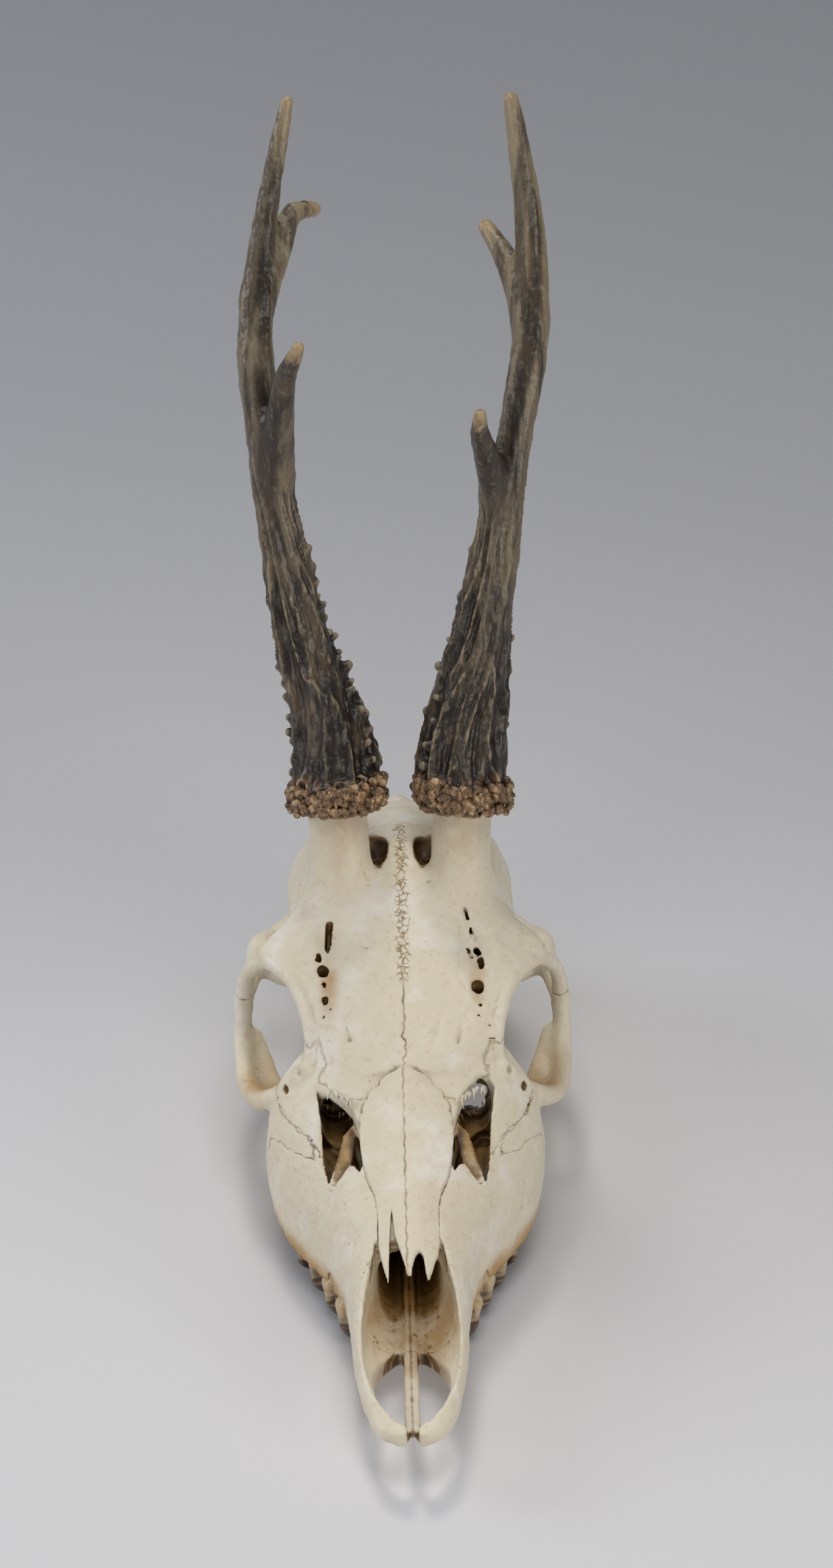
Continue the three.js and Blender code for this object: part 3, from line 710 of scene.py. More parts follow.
# How far back the antler leans from its axis, and how thick its beam is, by height.
sway = through((0, 0), (45, 2), (95, -2.5), (140, 3), (ANTLER_LENGTH, 1))
beam_radius = through((8, 8.6), (22, 8.4), (38, 6.7), (53, 5.5), (70, 4.7), (95, 4.1), (112, 4.2),
                      (128, 3.75), (143, 3.05), (158, 2.4), (173, 1.8), (ANTLER_LENGTH, 1.2))


def along_antler(side, height, out=0.0, turn=0.0):
    """A point at a height along an antler, and out from its middle line in the direction of turn:
    0 is away from the other antler, 90 back, 180 towards the other antler and 270 forward."""
    height, turn = np.asarray(height, float), np.radians(turn)
    across = side * (REACH[side](height) + out * np.cos(turn))
    spot = ANTLER_FOOT + np.multiply.outer(height, AXIS)
    spot = spot + np.multiply.outer(sway(height) + out * np.sin(turn), BACKWARD)
    spot[..., 0] = across
    return spot


def antler_place(side, x, y, z):
    """The other way round: a point's height, and how far out and back of the middle line it lies."""
    height = (y - ANTLER_FOOT[1]) * AXIS[1] + (z - ANTLER_FOOT[2]) * AXIS[2] + 0 * x
    back = (y - ANTLER_FOOT[1]) * BACKWARD[1] + (z - ANTLER_FOOT[2]) * BACKWARD[2] - sway(height)
    return height, side * x - REACH[side](height), back


print("antler tips:", along_antler(-1, ANTLER_LENGTH).round(1), along_antler(1, ANTLER_LENGTH).round(1))

# %% [markdown]
# ## Modelling the head
#
# First the three big masses: face, forehead and braincase. Then what stands on them: pedicles, brow
# ridges, the crest for the neck muscles, ear capsules, the joint for the neck, the hooks of the palate.
# Sculpting them by hand would work too, but a list of lumps can be read, measured and changed.

# %% The masses of the head
head = Clay((-46, -1, -2), (46, 205, 100), PITCH)


def build_masses(clay):
    """Face, forehead and braincase, then for each side what stands on them, from the neck forwards."""
    clay.add(loft(3.2, 121, face_half, face_wide, face_top, face_bottom,
                  lambda y: np.where(y < 50, 3.0, 2.5), lambda y: np.where(y < 50, 3.0, 2.6)))
    clay.add(loft(95, 152, forehead_half, forehead_edge, top_line, lambda y: forehead_edge(y) - 20, 2.4, 1.0),
             blend=2.0)
    clay.add(loft(122, 197, brain_half, brain_wide, brain_top, brain_bottom, 2.0, 2.2), blend=1.5)
    clay.add(side_prism([[136, 21], [194, 19], [194, 30], [136, 32]], -8, 8), blend=4.0)
    clay.add(egg((0, 171, 73), (9, 7, 4)), blend=3.0)
    for _, side in SIDES:
        clay.add(egg((side * 10, 196.5, 26), (7, 6.2, 8.4)), blend=2.0)
        clay.add(bar(mirrored([(22, 189, 34), (22.5, 187, 18), (20.6, 182.5, 3.2)], side),
                     lambda s: 4.6 - 2.2 * s, flat=(1.35, 0.85, 1)), blend=3.0)
        clay.add(egg((side * 14.5, 168, 18), (6, 9, 7.5)), blend=1.6)
        clay.add(bar(mirrored([(18, 172, 25), (25.5, 173, 30)], side), 4.0, count=2), blend=2.0)
        clay.add(side_prism([[108, 11], [126, 12], [137, 12], [141, 8], [142.5, 12], [146, 30], [108, 30]],
                            side * 8 - 1.1, side * 8 + 1.1), blend=1.5)
        for crest, thick in (([(24, 186, 36), (23, 189.5, 49), (14, 193, 57.5), (0, 194.5, 61.8)], 1.8),
                             ([(21, 152, 70), (22.5, 164, 66.5), (22, 176, 61), (21, 187, 54)], 1.3)):
            clay.add(bar(mirrored(crest, side), thick), blend=4.0)
        clay.add(bar([(side * 14.6, 141, 62), (side * 14.8, 146, 74), along_antler(side, BURR_LOW + 1)],
                     lambda s: 7.3 + 1.6 * (1 - s) ** 2), blend=3.0)
        clay.add(bar(mirrored([(21, 146, 72), (24, 142, 66), (28, 136, 63), (33, 130, 61)], side), 1.6),
                 blend=3.0)


build_masses(head)
print("clay:", head.value.shape, "samples")

# %% [markdown]
# ## Hollows
#
# Then what is open: the nose, the slots of the palate, the eye sockets, the gap in front of each
# socket that all deer have, the throat end of the nose, the great hole for the spinal cord, and the small
# holes by which nerves and vessels leave the bone. The row of holes above the eye sockets lies in a
# shallow groove that runs towards the nose. Inside each gap the wall of the nose is thin as paper and
# broken through: a few slanting bars of nothing let light through from behind.

# %% Where the small openings are
BROW_HOLES = {                # (x, y) where each starts and ends, and its radius
    -1: [((18.0, 132.0), (18.8, 126.8), 0.7), ((20.9, 125.0), (21.0, 123.9), 0.75),
         ((19.8, 121.2), (19.8, 120.4), 1.35), ((19.4, 117.6), (19.4, 117.3), 0.6),
         ((19.3, 114.2), (19.3, 113.6), 0.7), ((18.0, 111.6), (18.0, 111.4), 0.45),
         ((19.6, 110.2), (19.6, 110.0), 0.45)],
    1: [((15.6, 134.8), (17.0, 130.4), 0.45), ((17.0, 130.2), (18.9, 125.4), 0.75),
        ((16.0, 127.0), (17.2, 124.2), 0.4), ((19.2, 123.6), (19.5, 121.2), 0.7),
        ((18.3, 116.6), (18.2, 116.0), 1.45), ((18.8, 112.2), (18.9, 112.0), 0.5),
        ((18.3, 109.8), (18.3, 109.6), 0.4), ((21.0, 108.1), (21.0, 107.8), 0.5)],
}
BROW_DEPTH = 3.0              # mm
VESSEL_GROOVES = [((-8.6, 107.1, 57), (-6.8, 102, 54.6)), ((9, 107.3, 57), (7, 99.8, 53.4)),
                  ((-15, 109.5, 57.2), (-13.4, 103.5, 53.6)), ((14.8, 108.5, 56.9), (13.2, 102.5, 53.2))]
GAP_FRONT = [(11.2, 82), (9.8, 76), (11.4, 71.2), (12.6, 73.4), (13.9, 74.2), (15.6, 72.6), (17.6, 71.6),
             (19.2, 73.4), (20.0, 78), (20.6, 86), (21.8, 95.8)]
FACE_GAP = {                  # (x, y) corners of the gap before the eye, which ends differently on each side
    -1: [*GAP_FRONT, (20.6, 94.2), (18.6, 92.6), (15.8, 90.2), (12.8, 87.6)],
    1: [*GAP_FRONT, (20.2, 97.4), (18.2, 97.2), (16.6, 94.8), (15.0, 92.6), (12.9, 88.6)],
}
BREAK_START = (92, 43)        # (y, z) where the broken places at the back of the gaps lie
BREAK_UP = np.array([0, 0.552, 0.834])
BREAK_RUN = (0.7, 41.7, -27.6)
THROUGH_HOLES = [             # (x, distance up from there, radius): large at the right, pinholes at the left
    (16.4, -0.4, 2.3), (18.2, 1.4, 2.2), (18.0, -1.6, 1.9), (14.8, -1.8, 1.2), (16.9, 2.2, 1.6),
    (-19.6, 0.6, 0.5), (-18.9, -0.7, 0.45), (-19.9, -0.5, 0.4), (-18.6, 0.9, 0.35)]
SMALL_CANALS = [              # a straight hole's ends, its radius and its blend
    ([(30, 174, 32), (20, 173, 29)], 2.3, 0.6), ([(7, 90, 4), (7.5, 93, 12)], 1.3, 0.8),
    ([(12, 152, 16), (12, 153, 26)], 1.9, 0.6), ([(12.5, 189, 16), (11, 188, 26)], 1.5, 0.6),
    ([(24, 134, 40), (6, 139, 38)], 2.2, 1.5), ([(26, 138, 31), (8, 144, 29)], 2.6, 1.5)]
print("brow holes:", {side: len(holes) for side, holes in BROW_HOLES.items()})


# %% Hollows
def skin_height(clay, x, y):
    """Height of the top surface over a spot."""
    heights = np.arange(90, 30, -0.4)
    inside = clay.sample(np.stack([np.full_like(heights, x), np.full_like(heights, y), heights], axis=1)) < 0
    return heights[np.argmax(inside)]


def cut_nose(clay):
    """The nose is a wide gutter in front and narrows to a deep slot under the nasal bones."""
    clay.cut(loft(5.5, 84, aperture_half, lambda y: np.where(y < 52, 22.0, 20.0),
                  lambda y: np.where(y < 52, 60.0, top_line(y) - 4.6), through((30, 9.2), (48, 10.8)),
                  lambda y: np.where(y < 52, 8.0, 2.4), 2.6), blend=1.0)
    clay.cut(egg((0, 203, 33.5), (8.5, 16, 8)), blend=1.0)
    clay.cut(loft(100, 152, 6.2, 19, 26, through((100, 13.5), (112, 11), (152, 11)), 2.5, 3), blend=1.0)


def cut_brow_holes(clay, side):
    """Each is a slot in the skin of the forehead that dives towards the eye."""
    for start, end, radius in BROW_HOLES[side]:
        mouth = [(side * x, y, skin_height(clay, side * x, y) - 0.5) for x, y in (start, end)]
        floor = (mouth[1][0], mouth[1][1] + 0.4, mouth[1][2] - BROW_DEPTH - radius)
        clay.cut(bar(mouth + [floor], lambda s: radius * (1.1 - 0.3 * s), count=6), blend=0.25)
        for drop in (1.0, 2.0, 3.0):
            lower = [(x, y, z - drop) for x, y, z in mouth]
            clay.cut(bar(lower, radius * (1 - 0.12 * drop), count=3), blend=0.25)


def palate_swell(y):
    """0 at the ends of the slots of the palate and 1 at their middle."""
    return np.sin(math.pi * np.clip(y - 6.5, 0.05, 29.5) / 29.6) ** 0.7


def build_hollows(clay):
    cut_nose(clay)
    for _, side in SIDES:
        clay.cut(egg((side * 38, ORBIT_BACK + 1, ORBIT_UP - 1), (25, 17.5, 16)), blend=1.0)
        clay.cut(egg((side * 36, ORBIT_BACK + 14, ORBIT_UP - 6), (18, 16, 15)), blend=1.0)
        clay.cut(loft(7.5, 36, lambda y: 0.6 + 3.3 * palate_swell(y), 8, 16, 0, 3, 3,
                      middle=lambda y: side * (2.1 + 3.6 * palate_swell(y))))
        clay.cut(top_prism([(side * x, y) for x, y in FACE_GAP[side]], 28, 66), blend=0.5)
        clay.cut(egg((side * 17.5, 118, 66.9), (4.0, 12, 4.0)), blend=3.0)
        cut_brow_holes(clay, side)
        clay.cut(bar(mirrored([(21, 60, 10.5), (13, 68, 13.5)], side), 1.5, count=2, flat=(1, 1, 0.8)),
                 blend=1.0)
        for ends, radius, blend in SMALL_CANALS:
            clay.cut(bar(mirrored(ends, side), radius, count=2), blend=blend)
    for start, end in VESSEL_GROOVES:
        clay.cut(bar([start, end], 0.5, count=2), blend=0.6)
    for x, up, radius in THROUGH_HOLES:
        start = np.array([x, *BREAK_START]) + up * BREAK_UP
        clay.cut(bar([start, start + BREAK_RUN], radius, count=2), blend=0.3)
    for _, side in SIDES:
        clay.cut(loft(86, 104, lambda y: 4.2 + 0 * y, 38, lambda y: face_top(y) - 4.8, 30, 2.5, 2.5,
                      middle=lambda y: side * (16.2 + (y - 86) * 0.05)), blend=0.4)
        clay.cut(bar(mirrored([(5.4, 154.5, 81), (6.2, 150.5, 78.2), (5.6, 144, 77.6)], side),
                     lambda s: 0.9 + 1.9 * math.sin(math.pi * min(s * 1.25, 1)), count=7), blend=1.0)
    clay.cut(top_prism([(-2.5, 0), (-0.5, 7.4), (0.5, 7.4), (2.5, 0)], -2, 25), blend=0.8)


build_hollows(head)
print("bone left:", round(float((head.value < 0).mean()) * 100, 1), "% of the block")

# %% [markdown]
# ## Rims, arches and what stands in the nose
#
# The ring of the eye socket and the arch of the cheek are bars added after the hollows, so that no
# hollow thins them. Inside the nose a ridge, the vomer, divides the floor into two gutters, and a thin
# slanted plate of bone shows through the gap in front of each socket.

# %% Rims and arches
def slanted_plate(corners, thick):
    """A thin flat plate through three or four corners, with round edges."""
    corners = np.array(corners, float)
    middle = corners.mean(axis=0)
    along = corners[1] - corners[0]
    along /= np.linalg.norm(along)
    square = np.cross(along, corners[-1] - corners[0])
    square /= np.linalg.norm(square)
    other = np.cross(square, along)
    flat = [((corner - middle) @ along, (corner - middle) @ other) for corner in corners]

    def distance(x, y, z):
        u = (x - middle[0]) * along[0] + (y - middle[1]) * along[1] + (z - middle[2]) * along[2]
        v = (x - middle[0]) * other[0] + (y - middle[1]) * other[1] + (z - middle[2]) * other[2]
        w = (x - middle[0]) * square[0] + (y - middle[1]) * square[1] + (z - middle[2]) * square[2]
        return np.maximum(outline_distance(u, v, flat), np.abs(w) - thick / 2)
    return Shape(distance, corners.min(0) - thick, corners.max(0) + thick)


SOCKET_BARS = [               # the eye socket's upper and lower rim, its floor's edge, and the cheek arch
    ([(24, 100.5, 45.5), (23, 106, 51.6), (24.6, 113, 57), (28, 121, 60.3), (33.5, 129, 59.5), (38.6, 136, 51),
      (39.8, 137.5, 40)], lambda s: 1.35 + 0.75 * s, 16, (1, 1, 1), 1.2),
    ([(24.5, 101.5, 46), (27.5, 102.5, 41), (31.5, 105, 35), (36.5, 110.5, 31), (39.4, 121, 29), (40, 133, 33),
      (39.8, 138, 42)], lambda s: 2.0 + 0.5 * math.sin(math.pi * s), 16, (1, 1, 1), 1.2),
    ([(30, 106.5, 35.5), (31.5, 112, 30.5), (33.4, 121, 27.6), (35.6, 129, 28.8), (38.0, 135, 33)],
     lambda s: 2.0 - 0.2 * s, 10, (0.62, 1, 1.2), 2.5),
    ([(40, 132, 31), (40.5, 144, 30.5), (38.5, 157, 33.5), (34, 167, 37.5), (25, 174, 40)],
     lambda s: 2.3 + 1.3 * s * s, 10, (1.3, 1, 0.8), 2.0),
]


def build_rims(clay):
    """Sockets and arches with their joint knobs, then the plates in the gaps, then the vomer."""
    for _, side in SIDES:
        for line, radius, count, flat, blend in SOCKET_BARS:
            clay.add(bar(mirrored(line, side), radius, count=count, flat=flat), blend=blend)
        clay.add(egg((side * 35.2, 163.5, 38.4), (4.0, 5.5, 4.6)), blend=2.5)
        clay.add(egg((side * 26, 162, 33.5), (9, 6, 3.6)), blend=3.0)
        clay.add(bar(mirrored([(3.4, 90, 34), (6.5, 84, 29), (5.2, 72, 26)], side), 1.3), blend=1.0)
        clay.add(slanted_plate(mirrored([(11.4, 88.5, 40.5), (15.4, 85.0, 38.5), (19.0, 73.4, 31.0),
                                         (14.2, 72.0, 32.0)], side), 1.2), blend=0.6)
        clay.add(slanted_plate(mirrored([(11, 70, 24), (11, 92, 27), (22, 92, 29), (21, 70, 26)], side), 1.6),
                 blend=1.0)
        clay.cut(egg((side * 26.2, 100, 46.2), (1.0, 1.6, 1.4)), blend=0.5)
        clay.cut(egg((side * 29.0, 101.2, 40.6), (1.3, 1.4, 1.1)), blend=0.5)
    clay.add(bar([(0, 36, 8.6), (0, 52, 10.6), (0, 70, 13), (0, 96, 24)], 1.7, flat=(1, 1, 0.6)), blend=1.5)
    clay.cut(bar([(0, 6, 11.4), (0, 30, 10.6), (0, 52, 12.8), (0, 72, 15.4)], 0.5), blend=0.6)
    clay.add(side_prism([[60, 12], [96, 18], [140, 20], [140, 30], [90, 32]], -0.6, 0.6), blend=0.8)


build_rims(head)
print("bone now:", round(float((head.value < 0).mean()) * 100, 1), "% of the block")

# %% [markdown]
# ## Teeth
#
# A deer's cheek teeth are crescents: three premolars with one pair of cusps each, three molars with two.
# The crowns are short by now, worn to one level, with a deep pit between inner and outer cusp. They
# are modelled in their own clay, because enamel has its own finish, and then stand in the jaw.

# %% Teeth
TOOTH_START = 53              # mm from the tip of the upper jaw
TOOTH_LENGTHS = (8.5, 9, 8.7, 10.2, 11.6, 11)
TOOTH_WIDTHS = (7.5, 9, 10.5, 12, 12.5, 11.5)
tooth_row_edge = through((53, 15), (66, 20), (82, 26.2), (96, 28.2), (113, 26.5))
REST_BACK = 105               # mm back, where the skull touches the table
REST_SKIM = 0.7               # mm worn off the lowest cusps


def table_level(y):
    """Height of the table under the skull, in the skull's own tipped frame."""
    return REST_SKIM + (y - REST_BACK) * math.tan(REST_TILT)


def sorted_box(side, low, high):
    """The corners of a box that is given for the right side, on either side."""
    across = sorted((side * low[0], side * high[0]))
    return (across[0], *low[1:]), (across[1], *high[1:])


def build_teeth(side):
    """Each lobe is a tapering crown with an outer and an inner cusp, a rib and a worn pit."""
    clay = Clay(*sorted_box(side, (5, 51, -1), (31, 115, 15)), PITCH * 0.8)
    start = TOOTH_START
    for index, (length, width) in enumerate(zip(TOOTH_LENGTHS, TOOTH_WIDTHS)):
        lobes = 1 if index < 3 else 2
        long = length / lobes
        for lobe in range(lobes):
            y = start + long * (lobe + 0.5)
            x = float(tooth_row_edge(start + length / 2)) - width / 2
            worn = 0.25 + 0.35 * ((index * 2 + lobe) % 3)
            crown = [(side * x, y, 13), (side * x, y, 7), (side * x, y, 2.6 + worn)]
            clay.add(bar(crown, lambda s: long * (0.47 + 0.06 * s), count=4, flat=(long / width, 1, 1)), blend=0.8)
            outer = [(side * (x + width * 0.34), y, 8), (side * (x + width * 0.3), y, 1.4 + worn)]
            inner = [(side * (x - width * 0.32), y, 8), (side * (x - width * 0.24), y, 1.0 + worn)]
            for cusp in (outer, inner):
                clay.add(bar(cusp, lambda s: long * (0.3 - 0.13 * s), count=3, flat=(1, 0.8, 1)), blend=0.9)
            rib = side * (x + width * 0.44)
            clay.add(bar([(rib, y - 0.3 * long, 9), (rib * 0.985, y - 0.3 * long, 3.4 + worn)], 1.0, count=2),
                     blend=1.2)
            clay.cut(egg((side * (x + 0.3), y, -0.2 + worn), (width * 0.13, long * 0.34, 3.2)), blend=0.5)
        clay.cut(side_prism([[start - 0.12, -2], [start + 0.12, -2], [start + 0.12, 8], [start - 0.12, 8]],
                            *sorted((side * 4.0, side * 32.0))), blend=0.4)
        start += length
    x, y, z = clay.axes()
    clay.value = np.maximum(clay.value, table_level(y) - z + 0 * x).astype(np.float32)
    return clay


teeth = {side: build_teeth(side) for _, side in SIDES}
print("tooth rows:", [clay.value.shape for clay in teeth.values()])

# %% [markdown]
# ## Nasal bones
#
# Two thin, long, arched plates roof the nose. Each ends in front in prongs with a slit or a notch
# between them, and behind in a point that is let into the forehead along a scalloped suture. They are
# modelled in finer clay of their own, and the head gives way to them, so that their edges stay crisp.

# %% Nasal bones
SUTURE_GAP = -0.3             # mm; the bones reach this far into each other, so that no crack opens
NASAL_THICK = through((43, 1.3), (60, 2.0), (95, 2.6))


def nasal_plate(grow):
    """The roof of the nose as one plate, or grown a little and open above, to clear its place."""
    def distance(x, y, z):
        line = y.ravel().astype(float)
        scallop = 0.5 * np.sin(line * 1.9) * np.clip((line - 78) / 8, 0, 1)
        half = (nasal_half(line) + scallop)[None, :, None]
        crown = (top_line(line) + 1)[None, :, None]
        thick = NASAL_THICK(line)[None, :, None]
        surface = crown - 2.1 * (x / half) ** 2
        slab = np.maximum(surface - thick - z, -FAR if grow else z - surface)
        edge = (np.abs(x) - half) * 0.85
        ends = np.maximum(NASAL_TIP + 0.4 - y, y - NASAL_END)
        return np.maximum(np.maximum(slab, edge), ends) - grow
    return Shape(distance, (-12.5, NASAL_TIP - 1, 22), (12.5, NASAL_END + 1, 58))


def nasal_notches():
    """The slit of the left bone, the round notch of the right one, and the steps outside them."""
    return (top_prism([(-4.1, 59.5), (-3.4, 52), (-0.9, 43.6), (-0.6, 39), (-5.3, 39), (-5.0, 43)], 20, 50),
            top_prism([(0.4, 39), (0.6, 43.6), (1.6, 46.6), (2.5, 48), (3.3, 46.6), (4.2, 42), (4.3, 39)], 20, 50),
            top_prism([(-5.6, 39), (-5.6, 42.4), (-7.6, 47.6), (-12, 46.5), (-12, 39)], 20, 50),
            top_prism([(4.7, 39), (4.7, 42), (6.7, 47.6), (12, 46.5), (12, 39)], 20, 50))


nasals = Clay((-14, 38, 20), (14, 98, 56), PITCH * 0.8)
nasals.add(nasal_plate(0.0))
for notch in nasal_notches():
    nasals.cut(notch, blend=0.3)
head.cut(nasal_plate(0.02), blend=0.1, margin=1.0)
print("nasal bones:", nasals.value.shape, "samples")

# %% [markdown]
# ## Making room
#
# A tooth stands in a socket of its own shape. So the head gives way to the teeth as well, up to the
# level where they leave the jaw, and at last everything is cut off at the level of the table: only
# two small processes beside the neck joint reach it.

# %% Room for the teeth
TOOTH_OVERLAP = 0.15          # mm; the jaw reaches this far into the tooth
for _, side in SIDES:
    row = teeth[side]
    where, (x, y, z) = head.around(row.low, row.low + row.pitch * row.count)
    kept = head.value[where]
    head.value[where] = np.where(z < ALVEOLAR_UP + 1, np.maximum(kept, TOOTH_OVERLAP - row.over(x, y, z)), kept)
x, y, z = head.axes()
head.value = np.maximum(head.value, table_level(y) - z + 0 * x).astype(np.float32)
print("lowest bone above the table:", round(float((z - table_level(y) + 0 * x)[head.value < 0].min()), 2), "mm")

# %% [markdown]
# ## Parting the skull along its sutures
#
# The bones of a young head grow towards each other and lock along wavy lines, the sutures. Each bone is
# the clay inside its own side-view outline, whose edge is made wavy by a little noise. What
# an earlier bone takes, a later one leaves, and the two reach a hair's breadth into each other, so that
# no crack opens; the suture we see is the darker colour along it.

# %% Sutures
OUTLINES = {                  # side-view (y, z) corners, how far from the middle it starts, size of the waves
    "premaxilla": ([[-5, -5], [33, -5], [34, 6], [38, 16], [41, 22], [44.5, 26.5], [47.5, 30.5], [51, 34],
                    [51, 44], [-5, 44]], 0, 0.35),
    "lacrimal": ([[79.5, 35.6], [86, 37.4], [95, 36.8], [101, 37.5], [107, 41], [108.5, 47], [106, 52.5],
                  [103, 51], [96.7, 46], [90, 47.5], [80, 42]], 19, 0.45),
    "jugal": ([[80, 34.6], [86, 32.6], [92, 31.2], [97, 29], [98, 22], [101, 15.5], [118, 12], [147, 20],
               [149, 38], [147, 43], [131, 44], [115, 40], [108, 41], [101, 37.4], [95, 36.7], [86, 37.3]],
              22, 0.5),
    "maxilla": ([[30, -5], [123, -5], [123, 13], [121, 27], [104, 40], [90, 42], [88, 60], [30, 60]], 0, 0.4),
    "frontal": ([[60, 90], [84, 30], [104, 36], [128, 40], [135, 43], [147, 46], [156, 62], [161, 82], [170, 110],
                 [60, 110]], 0, 0.7),
}


def midline(y, z):
    """How far the seam between the left and right bones wanders from the middle."""
    wander = 0.25 * np.sin(y * 0.83) + 0.22 * np.sin(y * 2.1 + 1) + 0.12 * np.sin(y * 4.3)
    knit = 0.4 + np.clip((y - 118) / 6, 0, 1) + np.clip((108 - y) / 4, 0, 1) * np.clip((y - 95) / 3, 0, 1)
    on_top = np.clip((z - 40) / 6, 0, 1)
    return wander * knit * on_top


def ripple(x, y, z, size):
    """A small wavy push that is different everywhere."""
    return (np.sin(2.3 * x / size + 1.7 * z / size) + np.sin(2.0 * y / size - 1.3 * x / size + 1)
            + 0.6 * np.sin(4.1 * z / size + 3.3 * y / size)) / 2.6


def part_skull(clay):
    """Each bone's own distances, by name."""
    x, y, z = clay.axes()
    rest = clay.value.copy()
    bones = {}
    centre = midline(y, z)
    for name, (outline, inset, wave) in OUTLINES.items():
        plane = outline_distance(y, z, outline).astype(np.float32)
        wavy = plane + wave * ripple(x, y, z, 1.6).astype(np.float32)
        for label, side in SIDES:
            across = side * (x - centre) if inset == 0 else side * x - inset
            region = np.maximum(wavy, -across.astype(np.float32))
            bones[f"{name}_{label}"] = (np.maximum(rest, region + SUTURE_GAP / 2), region)
        taken = np.maximum(wavy, inset - np.abs(x)) if inset else wavy
        rest = np.maximum(rest, SUTURE_GAP / 2 - taken)
    bones["braincase"] = (rest, None)
    return bones


bones = part_skull(head)
print("bones:", ", ".join(bones))

# %% [markdown]
# ## How shut in a place is
#
# Hollows are painted darker: with painted shade, where little light reaches, and with the dirt that
# gathers where nothing can wipe it away. To find such places we step away from the surface along
# the way it faces and look at the distance to the nearest bone: in the open it equals the steps taken,
# in a pit the walls are nearer. For this the whole skull has to be one block again, teeth and nasal
# bones included.

# %% Shut-in places
shut_in = Clay((-46, -1, -2), (46, 205, 100), PITCH)
shut_in.value = head.value.copy()
for part in (nasals, *teeth.values()):
    where, (x, y, z) = shut_in.around(part.low, part.low + part.pitch * (part.count - 1))
    shut_in.value[where] = np.minimum(shut_in.value[where], part.over(x, y, z))


def how_shut_in(points, normals):
    """0 in the open and up to 1 in a narrow pit, from four steps of different weight."""
    steep = np.clip(shut_in.sample(points + normals * 0.9) / 0.9, 0.4, 1.2)
    open_share = 0
    for step, weight in ((1.5, 0.2), (3.0, 0.4), (5.0, 0.25), (9.0, 0.15)):
        reach = shut_in.sample(points + normals * step)
        open_share = open_share + weight * np.clip(reach / (step * steep), 0, 1)
    return 1 - open_share


print("one block again:", shut_in.value.shape, "samples")

# %% [markdown]
# ## Where the stains and the painted shade are
#
# Fat soaks out of a skull for years and turns the thin and hollow parts tan: the floors of the eye
# sockets, the nose, the gums. Dark dirt sits in the brow holes and where the neck's skin was tied
# down, and there and in the gaps before the eyes painted shade darkens the bone as well. Each is a soft
# lump of number in the right place, worked out for every vertex. They are written for the right side,
# and the left takes the same by dropping the sign of x.

# %% Stains and painted shade
def warmth_and_shade(points):
    """Where fat has stained the bone: the sockets' floors, the nose, the brow holes, the tooth sockets; the gap
    before the eye and the bone around the pedicles' bases also get painted shade in this tan.
    """
    x, y, z = np.abs(points[:, 0]), points[:, 1], points[:, 2]
    socket = np.exp(-(((x - 33) / 9) ** 2 + ((y - 118) / 14) ** 2 + ((z - 34) / 9) ** 2))
    brow = np.exp(-(((x - 18.5) / 3.2) ** 2 + ((y - 118) / 10) ** 2))
    gums = np.clip(1 - np.abs(z - 9) / 8, 0, 1) * np.clip((y - 46) / 8, 0, 1) * (y < 116) * 1.5
    nose = np.clip((aperture_half(y) + 1.5 - x) / 2, 0, 1) * (y > 9) * (y < 90) * (z < top_line(y) - 4)
    nose = nose * np.clip((y - 16) / 22, 0.3, 1)
    # gap: painted shade, laid in as tan, on the plate inside the gap before the eye.
    gap = np.exp(-(((x - 16.3) / 4.7) ** 4 + ((y - 89) / 15) ** 4)) * np.clip((43 - z) / 4, 0, 1)
    arch = np.exp(-(((x - 40) / 5) ** 2 + ((y - 150) / 12) ** 2 + ((z - 31) / 7) ** 2)) * 0.5
    # seat: painted shade with stain around the pedicles' bases and in the notches between them.
    seat = np.exp(-(((x - 15) / 9) ** 2 + ((y - 146) / 12) ** 2)) * (z > 66) * 0.45
    return np.clip(0.95 * socket + 0.55 * brow + 0.7 * gums + 0.62 * nose + arch + seat + gap, 0, 1)


def shade_and_grime(points):
    """Hollows painted dark with painted shade and dirt: the brow holes, the notches behind the pedicles, the gap
    before the eye.
    """
    x, y, z = np.abs(points[:, 0]), points[:, 1], points[:, 2]
    brow = np.exp(-(((x - 18.2) / 3.5) ** 2 + ((y - 129) / 9) ** 2))
    notch = np.exp(-(((x - 5.8) / 3.6) ** 2 + ((y - 149.5) / 5) ** 2)) * (z > 66)
    gap = np.exp(-(((x - 16.2) / 6) ** 2 + ((y - 90) / 15) ** 4)) * np.clip((43 - z) / 4, 0, 1)
    return np.clip(0.8 * brow + 2.6 * notch + 1.0 * gap, 0, 2.6)


def nose_gutter(points):
    """1 in the gutters of the nose, where the specks are."""
    x, y, z = np.abs(points[:, 0]), points[:, 1], points[:, 2]
    across = np.clip((aperture_half(y) + 1 - x) / 2, 0, 1)
    return across * np.clip((y - 24) / 8, 0, 1) * (y < 80) * (z < top_line(y) - 5)


def tooth_stain(points):
    """Teeth are cream at the gum and darken in bands towards their worn ends."""
    banded = points[:, 2] + 1.6 * (noise(points, 2.6, 50) - 0.5)
    return np.clip((8.4 - banded) / 4.2, 0, 1) * (0.8 + 0.2 * np.sin(banded * 3.2))


print("warmth on the nose floor and on the crown:", warmth_and_shade(np.array([[4, 60, 12], [0, 150, 78.0]])).round(2))

# %% [markdown]
# ## Finishing a bone
#
# Each bone's net gets fine relief by moving its vertices along the way they face: broad unevenness,
# smaller swellings and rare pits, none of them higher than half a millimetre, as on dry bone. Then the
# five numbers that the bone material reads are worked out. A seam darkens only within half a millimetre
# of the suture; where the frontal bones have knitted together, the pattern of loops takes its place.

